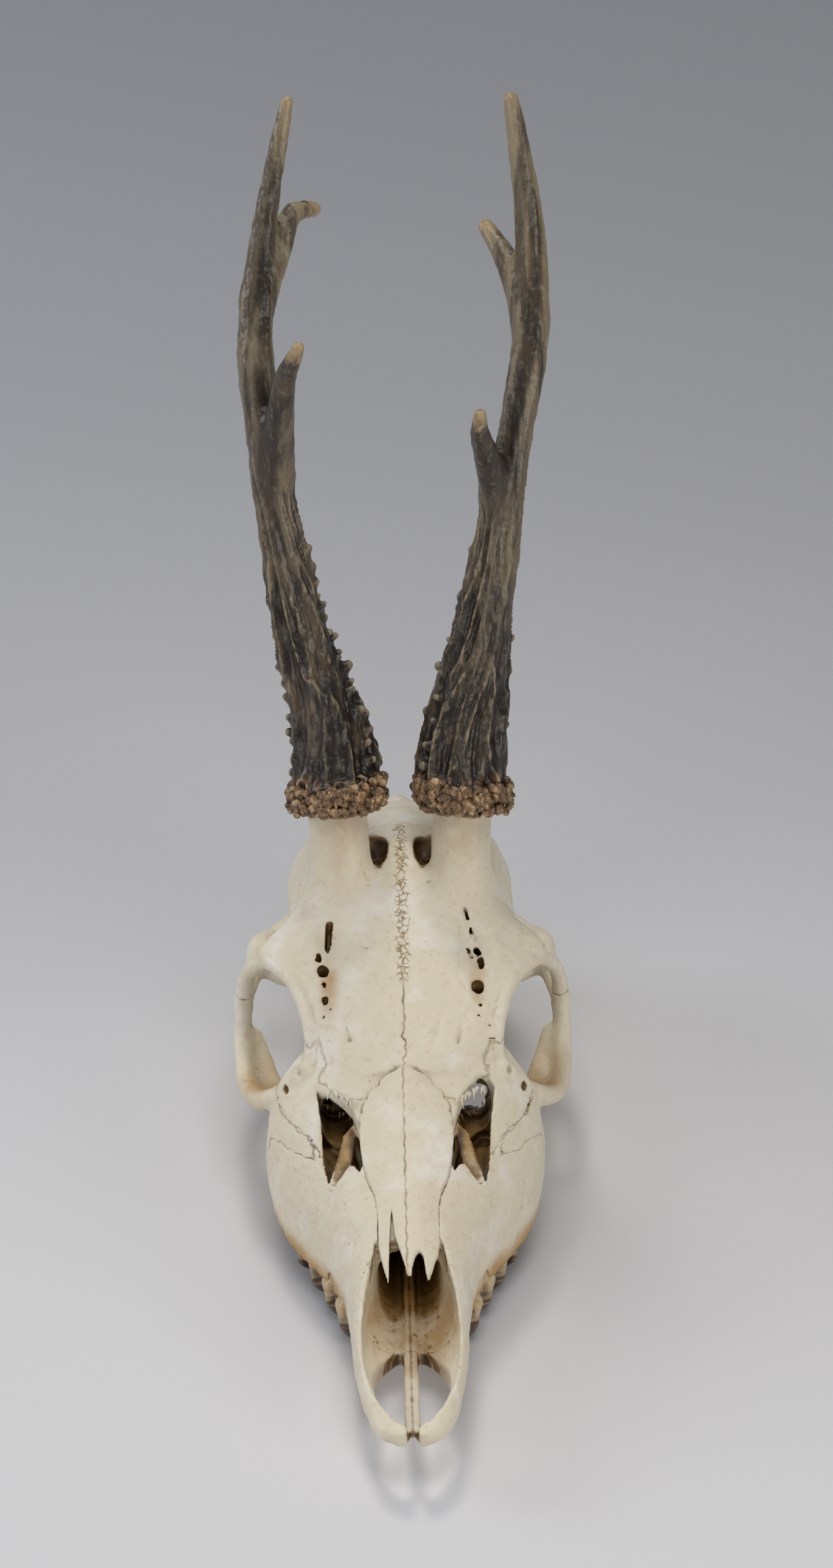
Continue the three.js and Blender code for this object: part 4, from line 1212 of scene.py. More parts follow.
# %% Bone finish
BONE_GRAIN = ((6.0, 0.5, 1), (2.2, 0.28, 2), (0.9, 0.16, 3))     # lump size in mm, height, seed
SEAM_HALF = 0.45              # mm
NASAL_SEAM_HALF = 0.5         # mm


def knitted(x, y, z):
    """1 along the knitted seam of the frontal bones."""
    band = np.clip(1.6 - np.abs(x - midline(y, z)) / 1.35, 0, 1) * np.clip((y - 115) / 4, 0, 1) * (z > 55)
    return band * np.clip((161 - y) / 3, 0, 1)


def finish_bone(name, value, low, pitch, material=None, nodes=None, region=None, rough=1.0, stain_and_shade=warmth_and_shade):
    """Turns a bone's distances into a finished piece; region tells how near the suture each place is."""
    near = np.argwhere(value < 0)
    start = np.maximum(near.min(0) - 2, 0)
    stop = np.minimum(near.max(0) + 3, value.shape)
    box = tuple(slice(a, b) for a, b in zip(start, stop))
    points, faces = without_crumbs(*surface_net(value[box], low + start * pitch, pitch))
    normals = facing(points, faces)
    # Painted shade and dirt: hollows, brow holes, the notches behind the pedicles and the gaps are made darker.
    shade_and_dirt = how_shut_in(points, normals) * (1 + shade_and_grime(points))
    seam = np.zeros(len(points))
    if region is not None:
        field = Clay(low, low, pitch)
        field.count, field.value = np.array(region.shape), region
        seam = np.exp(-(field.sample(points) / SEAM_HALF) ** 2)
    x, y, z = points.T
    nasal_edge = (np.abs(x) - nasal_half(y)) / NASAL_SEAM_HALF
    seam = np.maximum(seam, np.exp(-nasal_edge ** 2) * (z > 36) * np.clip((y - 78) / 8, 0, 1)
                      * (y < NASAL_END + 0.4))
    grain = sum((noise(points, size, seed) - 0.5) * height for size, height, seed in BONE_GRAIN)
    pits = np.clip(noise(points, 1.1, 4) - 0.84, 0, 1) * 1.6
    points = points + normals * ((grain * 0.8 - pits) * rough)[:, None]
    relief = ((points - blurred(points, faces, 6)) * normals).sum(axis=1) * 4
    x, y, z = points.T
    knit = knitted(x, y, z)
    crease = np.exp(-nasal_edge ** 2) * (z > 24) * (y > 40)
    specks = np.clip(noise(points, 0.8, 77) - 0.76, 0, 1) * 3.2
    shade_and_dirt = shade_and_dirt * (1 - 0.45 * seam) * (1 - 0.6 * crease) + nose_gutter(points) * specks
    if stain_and_shade is tooth_stain:
        shade_and_dirt = shade_and_dirt + 0.5 * np.clip((4.4 - z - 1.4 * noise(points, 2.2, 51)) / 2.4, 0, 1)
    attributes = {"shade_and_dirt": blurred(shade_and_dirt, faces, 1), "seam": seam * (1 - knit), "warm_and_shade": stain_and_shade(points),
                  "relief": relief, "knit": knit}
    return make_piece(name, points, faces, material or bone, nodes or (), attributes)


for name, (value, region) in bones.items():
    finish_bone(name, value, head.low, head.pitch, nodes=(name,), region=region)

# %% [markdown]
# ## The nasal bones and the teeth
#
# The nasal bones part along a line a little left of the middle, as they do on this skull. Their plates
# are thinner and smoother than the rest. The teeth take the enamel, and darken towards their worn ends.

# %% The nasal bones and the teeth
x, y, z = nasals.axes()
nasal_seam = (x + 0.55 + 0.12 * np.sin(y * 1.7) + 0 * z).astype(np.float32)
for label, side in SIDES:
    half = np.maximum(nasals.value, SUTURE_GAP / 2 - side * nasal_seam)
    finish_bone(f"nasal_{label}", half, nasals.low, nasals.pitch, nodes=(f"nasal_{label}",), rough=0.7,
                region=-np.abs(nasal_seam))
    clay = teeth[side]
    finish_bone(f"teeth_{label}", clay.value, clay.low, clay.pitch, material=enamel, rough=0.5,
                stain_and_shade=tooth_stain)

# %% [markdown]
# ## Antler
#
# Antler is bone that grew under velvet and was stained by bark and soil when the buck rubbed it clean:
# nearly black in the furrows near the burr, brown above, paler where the tips are polished. It is drier
# and a little glossier than the skull, because the rubbing polished its ridges. Ridges, pearls and the
# burr's knobs are painted paler and furrows darker, partly that polish and soil and partly painted
# highlight and painted shade. The mesh tells the shader its *height*, its *relief*, where the *burr* and
# the *tips* are, and where the dark *stripe* runs up the front of the beam. Streaks are noise that is
# drawn out along the antler.

# %% Antler material
# Lumps to the metre: 110 makes patches 9 mm across, 260 and 900 streaks 4 mm and 1.1 mm wide, which are
# drawn out by STREAK along the antler.
STREAK = 0.06
ANTLER_SLOPE = math.radians(25)


def antler_material():
    material, tree, place, numbers = fresh_material("rubbed antler", "height", "relief", "burr", "tip", "stripe")
    upright = node(tree, "ShaderNodeMapping", [("Vector", place), ("Rotation", (ANTLER_SLOPE, 0, 0))])
    streaks = node(tree, "ShaderNodeMapping", [("Vector", upright.outputs["Vector"]),
                                               ("Scale", (1.0, 1.0, STREAK))]).outputs["Vector"]
    for label, where, lumps, detail, rough in (("grain", streaks, 900.0, 5.0, 0.65),
                                               ("patches", place, 110.0, 4.0, 0.5),
                                               ("long_streaks", streaks, 260.0, 4.0, 0.55)):
        numbers[label] = node(tree, "ShaderNodeTexNoise", [("Vector", where), ("Scale", lumps), ("Detail", detail),
                                                           ("Roughness", rough)]).outputs["Fac"]
    fray(tree, numbers, [("up", "height", "patches", 0.3, 0.7, -0.1, 0.1),
                         ("pale", "long_streaks", "height", 0.1, 0.9, 0.0, -0.05),
                         ("dark", "long_streaks", "height", 0.1, 0.9, -0.04, 0.02),
                         ("furrow", "stripe", "grain", 0.3, 0.7, -0.15, 0.15),
                         ("crest", "relief", "grain", 0.3, 0.7, -0.2, 0.2),
                         ("polish", "tip", "grain", 0.3, 0.7, -0.2, 0.2)])
    base = paint(tree, numbers, colour("#1f160f"), [("up", 0.08, 0.6, 0.0, 1.0, "#6d6150"),
                                                    ("up", 0.5, 1.0, 0.0, 1.0, "#9a8a6e")])
    for name, low, high, (start, stop, least, most), cover in (
            ("pale", 0.5, 0.3, (0.05, 0.4, 0.2, 0.42), "#a9997c"),
            ("dark", 0.49, 0.6, (0.3, 0.8, 0.9, 0.65), "#1e1812")):
        streak = node(tree, "ShaderNodeMapRange", [("Value", numbers[name]), ("From Min", low), ("From Max", high)],
                      interpolation_type="SMOOTHSTEP")
        strength = node(tree, "ShaderNodeMapRange", [("Value", numbers["height"]), ("From Min", start),
                                                     ("From Max", stop), ("To Min", least), ("To Max", most)],
                        interpolation_type="SMOOTHSTEP")
        share = node(tree, "ShaderNodeMath", [(0, streak.outputs["Result"]), (1, strength.outputs["Result"])],
                     operation="MULTIPLY").outputs[0]
        base = node(tree, "ShaderNodeMix", [(0, share), (6, base), (7, colour(cover))], data_type="RGBA").outputs[2]
    # crest: ridges are painted paler and furrows darker, partly polish and soil and partly painted highlight and
    # painted shade.
    base = paint(tree, numbers, base, [("furrow", 0.2, 0.75, 0.0, 0.85, "#221a13"),
                                       ("patches", 0.5, 0.72, 0.0, 0.35, "#66492f"),
                                       ("crest", 0.1, 0.7, 0.0, 0.75, "#a99778"),
                                       ("crest", 0.0, -0.5, 0.0, 0.9, "#19110b")])
    # The burr's knobs are painted dark between and pale on top: partly soil and polish, partly painted shade and
    # painted highlight.
    knobs = paint(tree, numbers, colour("#22150d"), [("crest", -0.25, 0.3, 0.0, 1.0, "#7d5e40"),
                                                     ("crest", 0.25, 0.75, 0.0, 1.0, "#c0a37a")])
    base = node(tree, "ShaderNodeMix", [(0, numbers["burr"]), (6, base), (7, knobs)], data_type="RGBA").outputs[2]
    base = paint(tree, numbers, base, [("polish", 0.3, 1.0, 0.0, 1.0, "#b59c76")])
    rise = node(tree, "ShaderNodeMath", [(0, numbers["patches"]), (1, 0.4)], operation="MULTIPLY").outputs[0]
    rise = node(tree, "ShaderNodeMath", [(0, numbers["grain"]), (1, 0.8), (2, rise)], operation="MULTIPLY_ADD")
    bump = node(tree, "ShaderNodeBump", [("Strength", 0.5), ("Distance", 0.0006), ("Height", rise.outputs[0])])
    shine = node(tree, "ShaderNodeBsdfPrincipled", [("Base Color", base), ("Roughness", 0.3), ("IOR", 1.55),
                                                    ("Normal", bump.outputs["Normal"])])
    node(tree, "ShaderNodeOutputMaterial", [("Surface", shine.outputs["BSDF"])])
    return material


antler_look = antler_material()
print("material:", antler_look.name)

# %% [markdown]
# ## Beam, burr, tines and pearls
#
# An antler is measured by its height along a leaning axis and the turn around it. The beam's radius is a
# function of both: a taper, plus furrows that run up it and wander, deep near the burr and nearly gone
# at the top. The big pearls stand in rows on the inner and the outer side, so they are lumps of clay set by
# a rule with a little chance in it; the burr is a ring whose skin is roughened with noise, because its
# crust has no rule that the eye could find.

# %% Antlers
ANTLER_PITCH = 0.4
FORKS = {                     # (height of the fork, bends, tip, radius at the root): front tine, rear tine
    -1: ((90, ((-27, 178, 196),), (-23.2, 173, 209), 4.5),
         (132, ((-27.5, 209, 217), (-24.5, 214, 223.5)), (-19.3, 219, 222), 3.9)),
    1: ((84, ((22.5, 175, 176), (20.4, 170, 186)), (20.3, 167, 193), 4.2),
        (126, ((28, 208, 213),), (23.2, 217, 217.5), 3.9)),
}
BIG_THORN = 38                # mm up, where the biggest pearl sits
TINE_TIPS = (1.45, 1.9)       # mm, radius
TINE_TURNS = (195, 110)       # where around the beam each tine's root lies
THORNS = {                    # (turn, heights) of the bigger pearls
    -1: ((176, (13, 17, 21.5, 25, 29, 34, 38, 42, 46, 50, 54, 59, 63, 67)),
         (200, (15, 20, 27, 33, 40, 47, 56)), (152, (14, 19, 24, 31, 37, 45, 52)),
         (4, (12, 19, 24, 30.5, 37, 44, 53.5)), (90, (16, 26, 35, 45, 56)), (350, (15, 22, 33))),
    1: ((176, (15, 21, 27, 33, 38, 43, 46.5, 51, 55, 59, 67)),
        (204, (13, 18, 24, 30, 36, 41, 49)), (150, (14, 20, 26, 33, 40, 48)),
        (4, (14, 22, 28, 36, 44)), (90, (16, 26, 35, 45, 56)), (348, (17, 25, 31))),
}


def furrows(height, turn, side):
    """Ridges from 0 to 1 that run up the beam and wander a little."""
    turn = turn + 0.25 * np.sin(height / 17 + side)
    ring = np.stack([np.cos(turn) * 2.6, np.sin(turn) * 2.6, height / 24], axis=-1).reshape(-1, 3)
    broad = 1 - np.abs(2 * noise(ring, 1.0, 20 + side) - 1)
    fine = 1 - np.abs(2 * noise(ring * [2.3, 2.3, 2.4], 1.0, 30 + side) - 1)
    bead = noise(ring * [2.2, 2.2, 6.5], 1.0, 40 + side)
    return (0.75 * broad ** 2 + 0.2 * fine + 0.25 * bead).reshape(np.shape(height))


def beam_shape(side):
    """The beam from under the burr to the tip, with its furrows."""
    line = along_antler(side, np.linspace(0, ANTLER_LENGTH, 30))
    low, high = line.min(axis=0) - 14, line.max(axis=0) + 14
    low[0], high[0] = sorted((side * 4.0, side * 46.0))

    def distance(x, y, z):
        height, out, back = antler_place(side, x, y, z)
        away = np.hypot(out * 0.96, back)
        radius = beam_radius(height) * (1 + 0.2 * (side > 0) * np.clip((height - 115) / 40, 0, 1))
        past = np.maximum(height - (ANTLER_LENGTH - 2.4), 0)
        gap = np.hypot(away, past) - radius
        skin = np.abs(gap) < 3
        deep = np.clip(1.35 - height[skin] / 85, 0.12, 1.15) * np.clip(radius[skin] / 5, 0, 1)
        relief = furrows(height[skin], np.arctan2(back, out)[skin], side) - 0.45
        gap[skin] -= relief * 3.8 * deep
        return np.maximum(gap, 4 - height)
    return Shape(distance, low, high)


def build_antler(side):
    """Beam, tines and pearls of one antler as clay; the draws of chance keep their order."""
    spots = np.concatenate([along_antler(side, np.linspace(0, ANTLER_LENGTH, 30)),
                            [fork[2] for fork in FORKS[side]]])
    low, high = spots.min(axis=0) - 17, spots.max(axis=0) + 6
    low[0], high[0] = np.sort([side * 1.5, side * 46.0])
    clay = Clay(low, high, ANTLER_PITCH)
    clay.add(beam_shape(side), margin=0)
    chance = np.random.default_rng(11 + side)
    for (height, bends, tip, radius), blunt, turn in zip(FORKS[side], TINE_TIPS, TINE_TURNS):
        line = [along_antler(side, height - 3, 1.6, turn), *bends, tip]
        clay.add(bar(line, lambda s: (radius - blunt) * (1 - s) ** 0.8 + blunt, count=10), blend=3.0)
    for turn, heights in THORNS[side]:
        for height in heights:
            size = chance.uniform(1.05, 1.75) * (1.15 - height / 150) * (1.5 if height == BIG_THORN else 1)
            spin = turn + chance.uniform(-9, 9)
            rise = height + chance.uniform(-0.8, 0.8)
            out = float(beam_radius(rise))
            foot = along_antler(side, rise - 1.2, out - 1.2, spin)
            point = along_antler(side, rise + chance.uniform(0, 0.8), out + size * 1.15, spin)
            clay.add(bar([foot, point], lambda s: size * (1.25 - 0.6 * s), count=2), blend=1.4, margin=1.5)
    return clay


print("pearls:", {side: sum(len(heights) for _, heights in rows) for side, rows in THORNS.items()})

# %% The burr
BURR_HALF = 12.2              # mm, the ring's reach from the middle of the antler


def burr_shape(side):
    """The burr's ring: higher on the inner side, crusted all over, hollowed a little under its edge."""
    spots = along_antler(side, np.array([BURR_LOW - 3.0, BURR_HIGH + 6.0]))
    low, high = spots.min(axis=0) - 16, spots.max(axis=0) + 16

    def distance(x, y, z):
        height, out, back = antler_place(side, x, y, z)
        away = np.hypot(out, back)
        inner = np.clip(-out / np.maximum(away, 1), -1, 1)
        middle = 6.9 + 1.1 * inner
        half = 4.1 + 0.7 * inner
        bulge = np.abs(height - middle) / half
        under = 1 + 0.3 * np.sign(height - middle)
        ring = away - (BURR_HALF - 1.2 + 0.3 * inner - 1.5 * bulge ** 2 * under)
        gap = np.maximum(ring, (np.abs(height - middle) - half) * 0.9)
        skin = np.abs(gap) < 3
        spots = np.stack([np.broadcast_to(axis, gap.shape)[skin] for axis in (x, y, z)], axis=1)
        crust = 1 - np.abs(2 * noise(spots, 2.1, 60 + side) - 1)
        bead = 1 - np.abs(2 * noise(spots, 1.3, 70 + side) - 1)
        gap[skin] -= 1.7 * (crust ** 1.3 - 0.42) + 0.8 * (bead - 0.5)
        return gap
    return Shape(distance, low, high)


print("burr:", 2 * BURR_HALF, "mm across,", BURR_HIGH - BURR_LOW, "mm high")

# %% [markdown]
# ## Finishing the antlers
#
# Each antler becomes one piece, from the burr to the tips, because it is one growth. Its numbers for
# the paint are measured on the finished net: relief against a strongly blurred copy tells ridges and
# pearls from furrows, and the turn around the beam tells where the dark stripe runs.

# %% Antler finish
ANTLER_PARTS = ("burr", "beam_lower", "beam_middle", "beam_top", "tine_front", "tine_rear")
STRIPE_HALF = 0.62            # turn in radians


def dark_stripe(points, side):
    """1 along a wandering line up the front of the beam, between the pearls and the tip."""
    up, out, back = antler_place(side, *points.T)
    height = up / ANTLER_LENGTH
    turn = np.arctan2(back, out) + math.pi / 2 - 0.45 * np.sin(up / 23 + side)
    off = np.abs((turn + math.pi) % (2 * math.pi) - math.pi)
    reach = np.clip((height - 0.28) / 0.2, 0, 1) * np.clip((0.94 - height) / 0.1, 0, 1)
    return np.exp(-(off / STRIPE_HALF) ** 2) * reach * (0.45 + 0.8 * noise(points, (3.0, 3.0, 26.0), 9))


def finish_antler(clay, side, label):
    points, faces = without_crumbs(*surface_net(clay.value, clay.low, clay.pitch))
    normals = facing(points, faces)
    grain = (noise(points, (1.2, 1.2, 3.0), 7) - 0.5) * 0.3 + (noise(points, 0.7, 8) - 0.5) * 0.14
    points = points + normals * grain[:, None]
    # Relief paints ridges and pearls paler and furrows darker: partly polish and soil, partly painted highlight and
    # painted shade.
    relief = ((points - blurred(points, faces, 14)) * normals).sum(axis=1) * 1.9
    height = ((points - ANTLER_FOOT) @ AXIS) / ANTLER_LENGTH
    burr = np.clip((12.5 - height * ANTLER_LENGTH) / 2.5, 0, 1)
    tip = np.clip((height - 0.95) * 16, 0, 1)
    for _, _, end, _ in FORKS[side]:
        tip = np.maximum(tip, np.clip(1.0 - np.linalg.norm(points - end, axis=1) / 9, 0, 1))
    attributes = {"relief": relief, "height": np.clip(height, 0, 1), "burr": burr, "tip": tip,
                  "stripe": dark_stripe(points, side)}
    return make_piece(f"antler_{label}", points, faces, antler_look,
                      [f"antler_{label}_{part}" for part in ANTLER_PARTS], attributes)


for label, side in SIDES:
    clay = build_antler(side)
    clay.add(burr_shape(side), blend=0.8, margin=0)
    finish_antler(clay, side, label)

# %% [markdown]
# ## Small things that repeat
#
# Three sights on the skull are many small copies of one shape: the comb of splinters where a thin edge
# of bone has frayed, the beads that crust the burr, and the crumbs of dried tissue behind the
# pedicles. Geometry Nodes fit these: one small tree puts copies on points, with a fixed seed, and every
# use of it only names other sizes. A new tree starts with its named inputs and with the random numbers
# that differ from copy to copy.

# %% A new tree
def new_tree(name, inputs, chances):
    """An empty tree, its inputs, its random numbers (what, low, high) for each copy, and its output."""
    tree = bpy.data.node_groups.new(name, "GeometryNodeTree")
    for label, kind in inputs:
        tree.interface.new_socket(label, in_out="INPUT", socket_type=f"NodeSocket{kind}")
    tree.interface.new_socket("Geometry", in_out="OUTPUT", socket_type="NodeSocketGeometry")
    given = node(tree, "NodeGroupInput").outputs
    drawn = {}
    for shift, (what, low, high) in enumerate(chances, 1):
        seed = node(tree, "ShaderNodeMath", [(0, given["Seed"]), (1, float(shift))]).outputs[0]
        kind, first, result = ("FLOAT_VECTOR", 0, 0) if isinstance(low, tuple) else ("FLOAT", 2, 1)
        drawn[what] = node(tree, "FunctionNodeRandomValue", [(first, low), (first + 1, high), ("Seed", seed)],
                           data_type=kind).outputs[result]
    return tree, given, drawn, node(tree, "NodeGroupOutput").inputs["Geometry"]


print("a tree's random numbers each add their own shift to the seed")

# %% [markdown]
# ## The tree of splinters
#
# Thin bone breaks along its grain, so a frayed edge is a row of pointed splinters that all lean much the
# same way. The tree sets points along a bent line, pushes them a little astray, and stands a slender
# seven-sided cone on each, with its own lean, length and thickness.

# %% Splinter tree
def splinter_tree():
    tree, given, drawn, out = new_tree(
        "splinters along a line",
        [("Start", "Vector"), ("Middle", "Vector"), ("End", "Vector"), ("Direction", "Vector"), ("Count", "Int"),
         ("Length", "Float"), ("Thickness", "Float"), ("Seed", "Int"), ("Material", "Material")],
        [("astray", (-0.0003,) * 3, (0.0003,) * 3), ("lean", (-0.35,) * 3, (0.35,) * 3), ("long", 0.45, 1.3),
         ("thick", 0.7, 1.3)])
    line = node(tree, "GeometryNodeCurveQuadraticBezier", [(end, given[end]) for end in ("Start", "Middle", "End")])
    points = node(tree, "GeometryNodeCurveToPoints", [("Curve", line.outputs["Curve"]), ("Count", given["Count"])],
                  mode="COUNT")
    spots = node(tree, "GeometryNodeSetPosition", [("Geometry", points.outputs["Points"]),
                                                   ("Offset", drawn["astray"])])
    aim = node(tree, "ShaderNodeVectorMath", [(0, given["Direction"]), (1, drawn["lean"])],
               operation="ADD").outputs[0]
    turn = node(tree, "FunctionNodeAlignRotationToVector", [("Vector", aim)], axis="Z").outputs["Rotation"]
    long, thick = [node(tree, "ShaderNodeMath", [(0, given[size]), (1, drawn[share])],
                        operation="MULTIPLY").outputs[0]
                   for size, share in (("Length", "long"), ("Thickness", "thick"))]
    size = node(tree, "ShaderNodeCombineXYZ", [("X", thick), ("Y", thick), ("Z", long)]).outputs[0]
    splinter = node(tree, "GeometryNodeMeshCone", [("Vertices", 7), ("Radius Top", 0.12), ("Radius Bottom", 1.0),
                                                   ("Depth", 1.0)]).outputs["Mesh"]
    copies = node(tree, "GeometryNodeInstanceOnPoints", [("Points", spots.outputs["Geometry"]),
                                                         ("Instance", splinter), ("Rotation", turn),
                                                         ("Scale", size)])
    real = node(tree, "GeometryNodeRealizeInstances", [("Geometry", copies.outputs["Instances"])])
    done = node(tree, "GeometryNodeSetMaterial", [("Geometry", real.outputs["Geometry"]),
                                                  ("Material", given["Material"])])
    tree.links.new(done.outputs["Geometry"], out)
    return tree


splinters = splinter_tree()
print("tree:", splinters.name)

# %% [markdown]
# ## The tree of beads
#
# A crust is many rounded grains side by side. Turning by the golden angle from one bead to the next
# spreads them evenly around a ring without a pattern; chance then moves each one in or out and up or
# down. The ring leans as the antler does, and rises towards the other antler, as real burrs do. Each
# bead stores the numbers that the antler material reads, since it has no net to measure.

# %% Bead tree
GOLDEN_ANGLE = math.pi * (3 - math.sqrt(5))


def bead_tree():
    tree, given, drawn, out = new_tree(
        "beads over a ring",
        [("Foot", "Vector"), ("Lean", "Float"), ("Radius", "Float"), ("Spread", "Float"), ("Height", "Float"),
         ("Rise", "Float"), ("Bead", "Float"), ("Count", "Int"), ("Seed", "Int"), ("Material", "Material")],
        [("in or out", -1.0, 1.0), ("up or down", 0.0, 1.0), ("shape", (0.6, 0.6, 0.6), (1.3, 1.3, 1.5)),
         ("spin", (-3.0,) * 3, (3.0,) * 3)])
    sums = {**{socket.name: socket for socket in given if socket.name}, **drawn,
            "index": node(tree, "GeometryNodeInputIndex").outputs[0]}
    for result, operation, first, second in (("turn", "MULTIPLY", "index", GOLDEN_ANGLE),
                                             ("astray", "MULTIPLY", "Spread", "in or out"),
                                             ("reach", "ADD", "Radius", "astray"),
                                             ("cosine", "COSINE", "turn", 0.0),
                                             ("sine", "SINE", "turn", 0.0),
                                             ("across", "MULTIPLY", "reach", "cosine"),
                                             ("along", "MULTIPLY", "reach", "sine"),
                                             ("level", "MULTIPLY", "Height", "up or down"),
                                             ("tilt", "MULTIPLY", "Rise", "cosine"),
                                             ("lift", "ADD", "level", "tilt")):
        inputs = [(0, sums[first]), (1, sums.get(second, second))]
        sums[result] = node(tree, "ShaderNodeMath", inputs, operation=operation).outputs[0]
    spot = node(tree, "ShaderNodeCombineXYZ", [("X", sums["across"]), ("Y", sums["along"]), ("Z", sums["lift"])])
    points = node(tree, "GeometryNodePoints", [("Count", given["Count"]), ("Position", spot.outputs[0])]).outputs[0]
    size = node(tree, "ShaderNodeVectorMath", [(0, drawn["shape"]), ("Scale", given["Bead"])],
                operation="SCALE").outputs[0]
    bead = node(tree, "GeometryNodeMeshUVSphere", [("Segments", 8), ("Rings", 5), ("Radius", 1.0)]).outputs["Mesh"]
    copies = node(tree, "GeometryNodeInstanceOnPoints", [("Points", points), ("Instance", bead), ("Scale", size),
                                                         ("Rotation", drawn["spin"])]).outputs["Instances"]
    lean = node(tree, "ShaderNodeCombineXYZ", [("X", given["Lean"])]).outputs[0]
    moved = node(tree, "GeometryNodeTransform", [("Geometry", copies), ("Translation", given["Foot"]),
                                                 ("Rotation", lean)]).outputs["Geometry"]
    real = node(tree, "GeometryNodeRealizeInstances", [("Geometry", moved)]).outputs["Geometry"]
    grain = node(tree, "ShaderNodeTexNoise", [("Scale", 700.0), ("Detail", 1.0)]).outputs["Fac"]
    relief = node(tree, "ShaderNodeMapRange", [("Value", grain), ("From Min", 0.3), ("From Max", 0.7),
                                               ("To Min", -0.2), ("To Max", 0.8)]).outputs["Result"]
    for label, value in (("burr", 1.0), ("relief", relief)):
        real = node(tree, "GeometryNodeStoreNamedAttribute", [("Geometry", real), ("Name", label),
                                                              ("Value", value)],
                    data_type="FLOAT", domain="POINT").outputs["Geometry"]
    done = node(tree, "GeometryNodeSetMaterial", [("Geometry", real), ("Material", given["Material"])])
    tree.links.new(done.outputs["Geometry"], out)
    return tree


beads = bead_tree()
print("tree:", beads.name)

# %% [markdown]
# ## Growing a tree once
#
# A modifier runs the tree with the sizes of one use. The model needs plain meshes, so the result is
# taken from the evaluated object and the modifier is thrown away before the piece joins the frame.

# %% Grow
def grow(name, tree, slot, **values):
    """Runs a tree once and keeps its result as a plain mesh."""
    piece = bpy.data.objects.new(name, bpy.data.meshes.new(name))
    bpy.context.scene.collection.objects.link(piece)
    growth = piece.modifiers.new("growth", "NODES")
    growth.node_group = tree
    for item in tree.interface.items_tree:
        if item.in_out == "INPUT":
            growth[item.identifier] = values[item.name]
    shape = piece.evaluated_get(bpy.context.evaluated_depsgraph_get())
    mesh = bpy.data.meshes.new_from_object(shape)
    piece.modifiers.clear()
    piece.data = mesh
    mesh.shade_smooth()
    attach(piece, "root")
    print(f"{name}: {len(mesh.polygons)} faces")
    return piece


print("inputs of the splinters:", [item.name for item in splinters.interface.items_tree if item.in_out == "INPUT"])

# %% [markdown]
# ## Where they grow
#
# Splinters stand along the upper edge of each gap before the eye, along the torn film inside it, and
# along the front and upper edge of the eye socket. Beads crust both burrs. Crumbs lie in the notches
# behind the pedicles.

# %% Splinters, beads and crumbs
# Dried skin and sinew is dull and dark: it soaks up light where bone throws it back.
tissue = bone_material("dried brown tissue", "#8a6a45", "#6d4f30", "#5b3f25", "#3f2a17", "#24170c", 0.7)
FRAYED = {                    # (start, middle, end, direction, count, length, thickness) in mm
    "gap_edge": ((19.2, 94.0, 46.2), (16.2, 92.0, 46.4), (12.8, 88.6, 46.0), (-0.1, -1.0, -0.5), 11, 2.3, 0.42),
    "gap_lace": ((20.2, 95.0, 42.0), (16.6, 92.0, 40.0), (12.4, 88.0, 41.6), (0.2, -0.5, -0.9), 7, 1.8, 0.3),
    "socket_edge": ((22.4, 103, 49.5), (22.2, 109, 55), (25.2, 117, 59), (0.95, 0.1, -0.2), 18, 1.1, 0.34),
}
ANTLER_TURN = ANTLER_LEAN - math.pi / 2 - REST_TILT
for label, side in SIDES:
    for row, (name, (start, middle, end, aim, many, long, thick)) in enumerate(FRAYED.items()):
        line = [Vector(placed((side * x, y, z))[0]) for x, y, z in (start, middle, end)]
        grow(f"splinters_{name}_{label}", splinters, "bone", Start=line[0], Middle=line[1], End=line[2],
             Direction=Vector(turned((side * aim[0], aim[1], aim[2]))[0]), Count=many, Length=long / 1000,
             Thickness=thick / 1000, Seed=3 + row + side, Material=tissue if name == "gap_lace" else bone)
    grow(f"burr_beads_{label}", beads, "antler", Foot=Vector(placed(along_antler(side, BURR_LOW + 1.2))[0]),
         Lean=ANTLER_TURN, Radius=0.0115, Spread=0.0005, Height=0.0066, Rise=-side * 0.0012, Bead=0.00115,
         Count=210, Seed=20 + side, Material=antler_look)
    crumb_spot = (side * 5.6, 149.5, skin_height(head, side * 5.6, 149.5) - 0.3)
    grow(f"crumbs_{label}", beads, "bone", Foot=Vector(placed(crumb_spot)[0]), Lean=ANTLER_TURN,
         Radius=0.002, Spread=0.0018, Height=0.0011, Rise=0.0, Bead=0.0003, Count=90, Seed=40 + side,
         Material=tissue)

# %% [markdown]
# ## Floor
#
# A plain pale table. Matt card or paint gives no reflection, so it is only a colour and a high roughness.

# %% Floor
FLOOR_REACH = 4.0             # metres, far beyond the frame


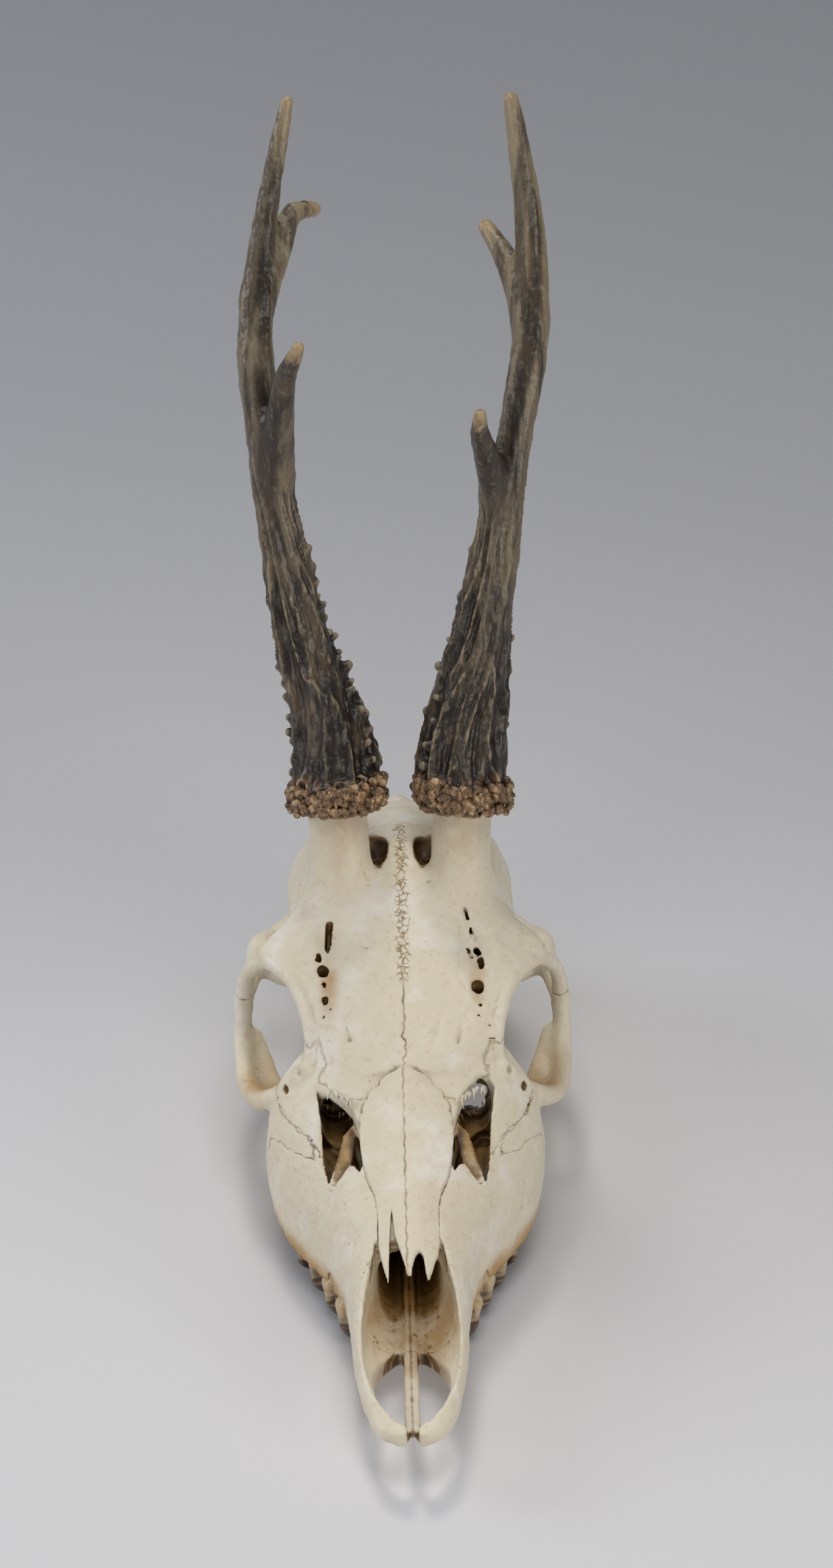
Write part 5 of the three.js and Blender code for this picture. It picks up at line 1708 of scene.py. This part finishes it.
def make_floor():
    mesh = bpy.data.meshes.new("floor")
    reach = FLOOR_REACH
    mesh.from_pydata([(-reach, -reach, 0), (reach, -reach, 0), (reach, reach, 0), (-reach, reach, 0)], [],
                     [(0, 1, 2, 3)])
    material = bpy.data.materials.new("matt pale table top")
    material.use_nodes = True
    shader = material.node_tree.nodes["Principled BSDF"]
    shader.inputs["Base Color"].default_value = colour("#dcdcdf")
    shader.inputs["Roughness"].default_value = 0.9
    mesh.materials.append(material)
    floor = bpy.data.objects.new("floor", mesh)
    bpy.context.scene.collection.objects.link(floor)
    print("floor:", 2 * reach, "m across")


make_floor()

# %% [markdown]
# ## Light
#
# One soft lamp stands high behind the skull, a little to the left, and throws its shadow forwards; its
# cone ends behind the antlers, so that they stand before a greyer ground. A soft box overhead opens
# that shadow, a cool strip at the left draws an edge on the antlers, and a low fill on either side of the
# viewer keeps the cheeks and the teeth from going black. The world adds a faint cool grey all round.

# %% Light
def make_light(kind, name, spot, target, power, tint, **settings):
    """A lamp at a spot, turned towards a target; metres and watts."""
    data = bpy.data.lights.new(name, kind)
    data.energy = power
    data.color = colour(tint)[:3]
    for setting, value in settings.items():
        setattr(data, setting, value)
    light = bpy.data.objects.new(name, data)
    light.location = spot
    light.rotation_euler = (Vector(target) - Vector(spot)).to_track_quat("-Z", "Y").to_euler()
    bpy.context.scene.collection.objects.link(light)
    print(f"{name}: {power} W")


make_light("SPOT", "lamp behind", (-0.12, 0.78, 1.25), (0, -0.25, 0), 20.5, "#fff9ef",
           spot_size=math.radians(33), spot_blend=0.8, shadow_soft_size=0.15)
make_light("AREA", "soft box overhead", (0.05, -0.28, 1.1), (0, -0.28, 0), 1.2, "#fbfaf8", size=0.6,
           spread=math.radians(90))
make_light("AREA", "strip at the left", (-0.9, 0.25, 0.45), (0, 0.05, 0.15), 2.4, "#f2f6ff", size=0.35)
make_light("AREA", "low fill at the left", (-0.8, -0.7, 0.35), (0, -0.03, 0.03), 1.9, "#fff8ee", size=0.45)
make_light("AREA", "low fill at the right", (0.8, -0.7, 0.35), (0, -0.03, 0.03), 3.1, "#fff8ee", size=0.45)
world = bpy.data.worlds.new("studio")
world.use_nodes = True
world.node_tree.nodes["Background"].inputs["Color"].default_value = colour("#c9cdd4")
world.node_tree.nodes["Background"].inputs["Strength"].default_value = 0.28
bpy.context.scene.world = world
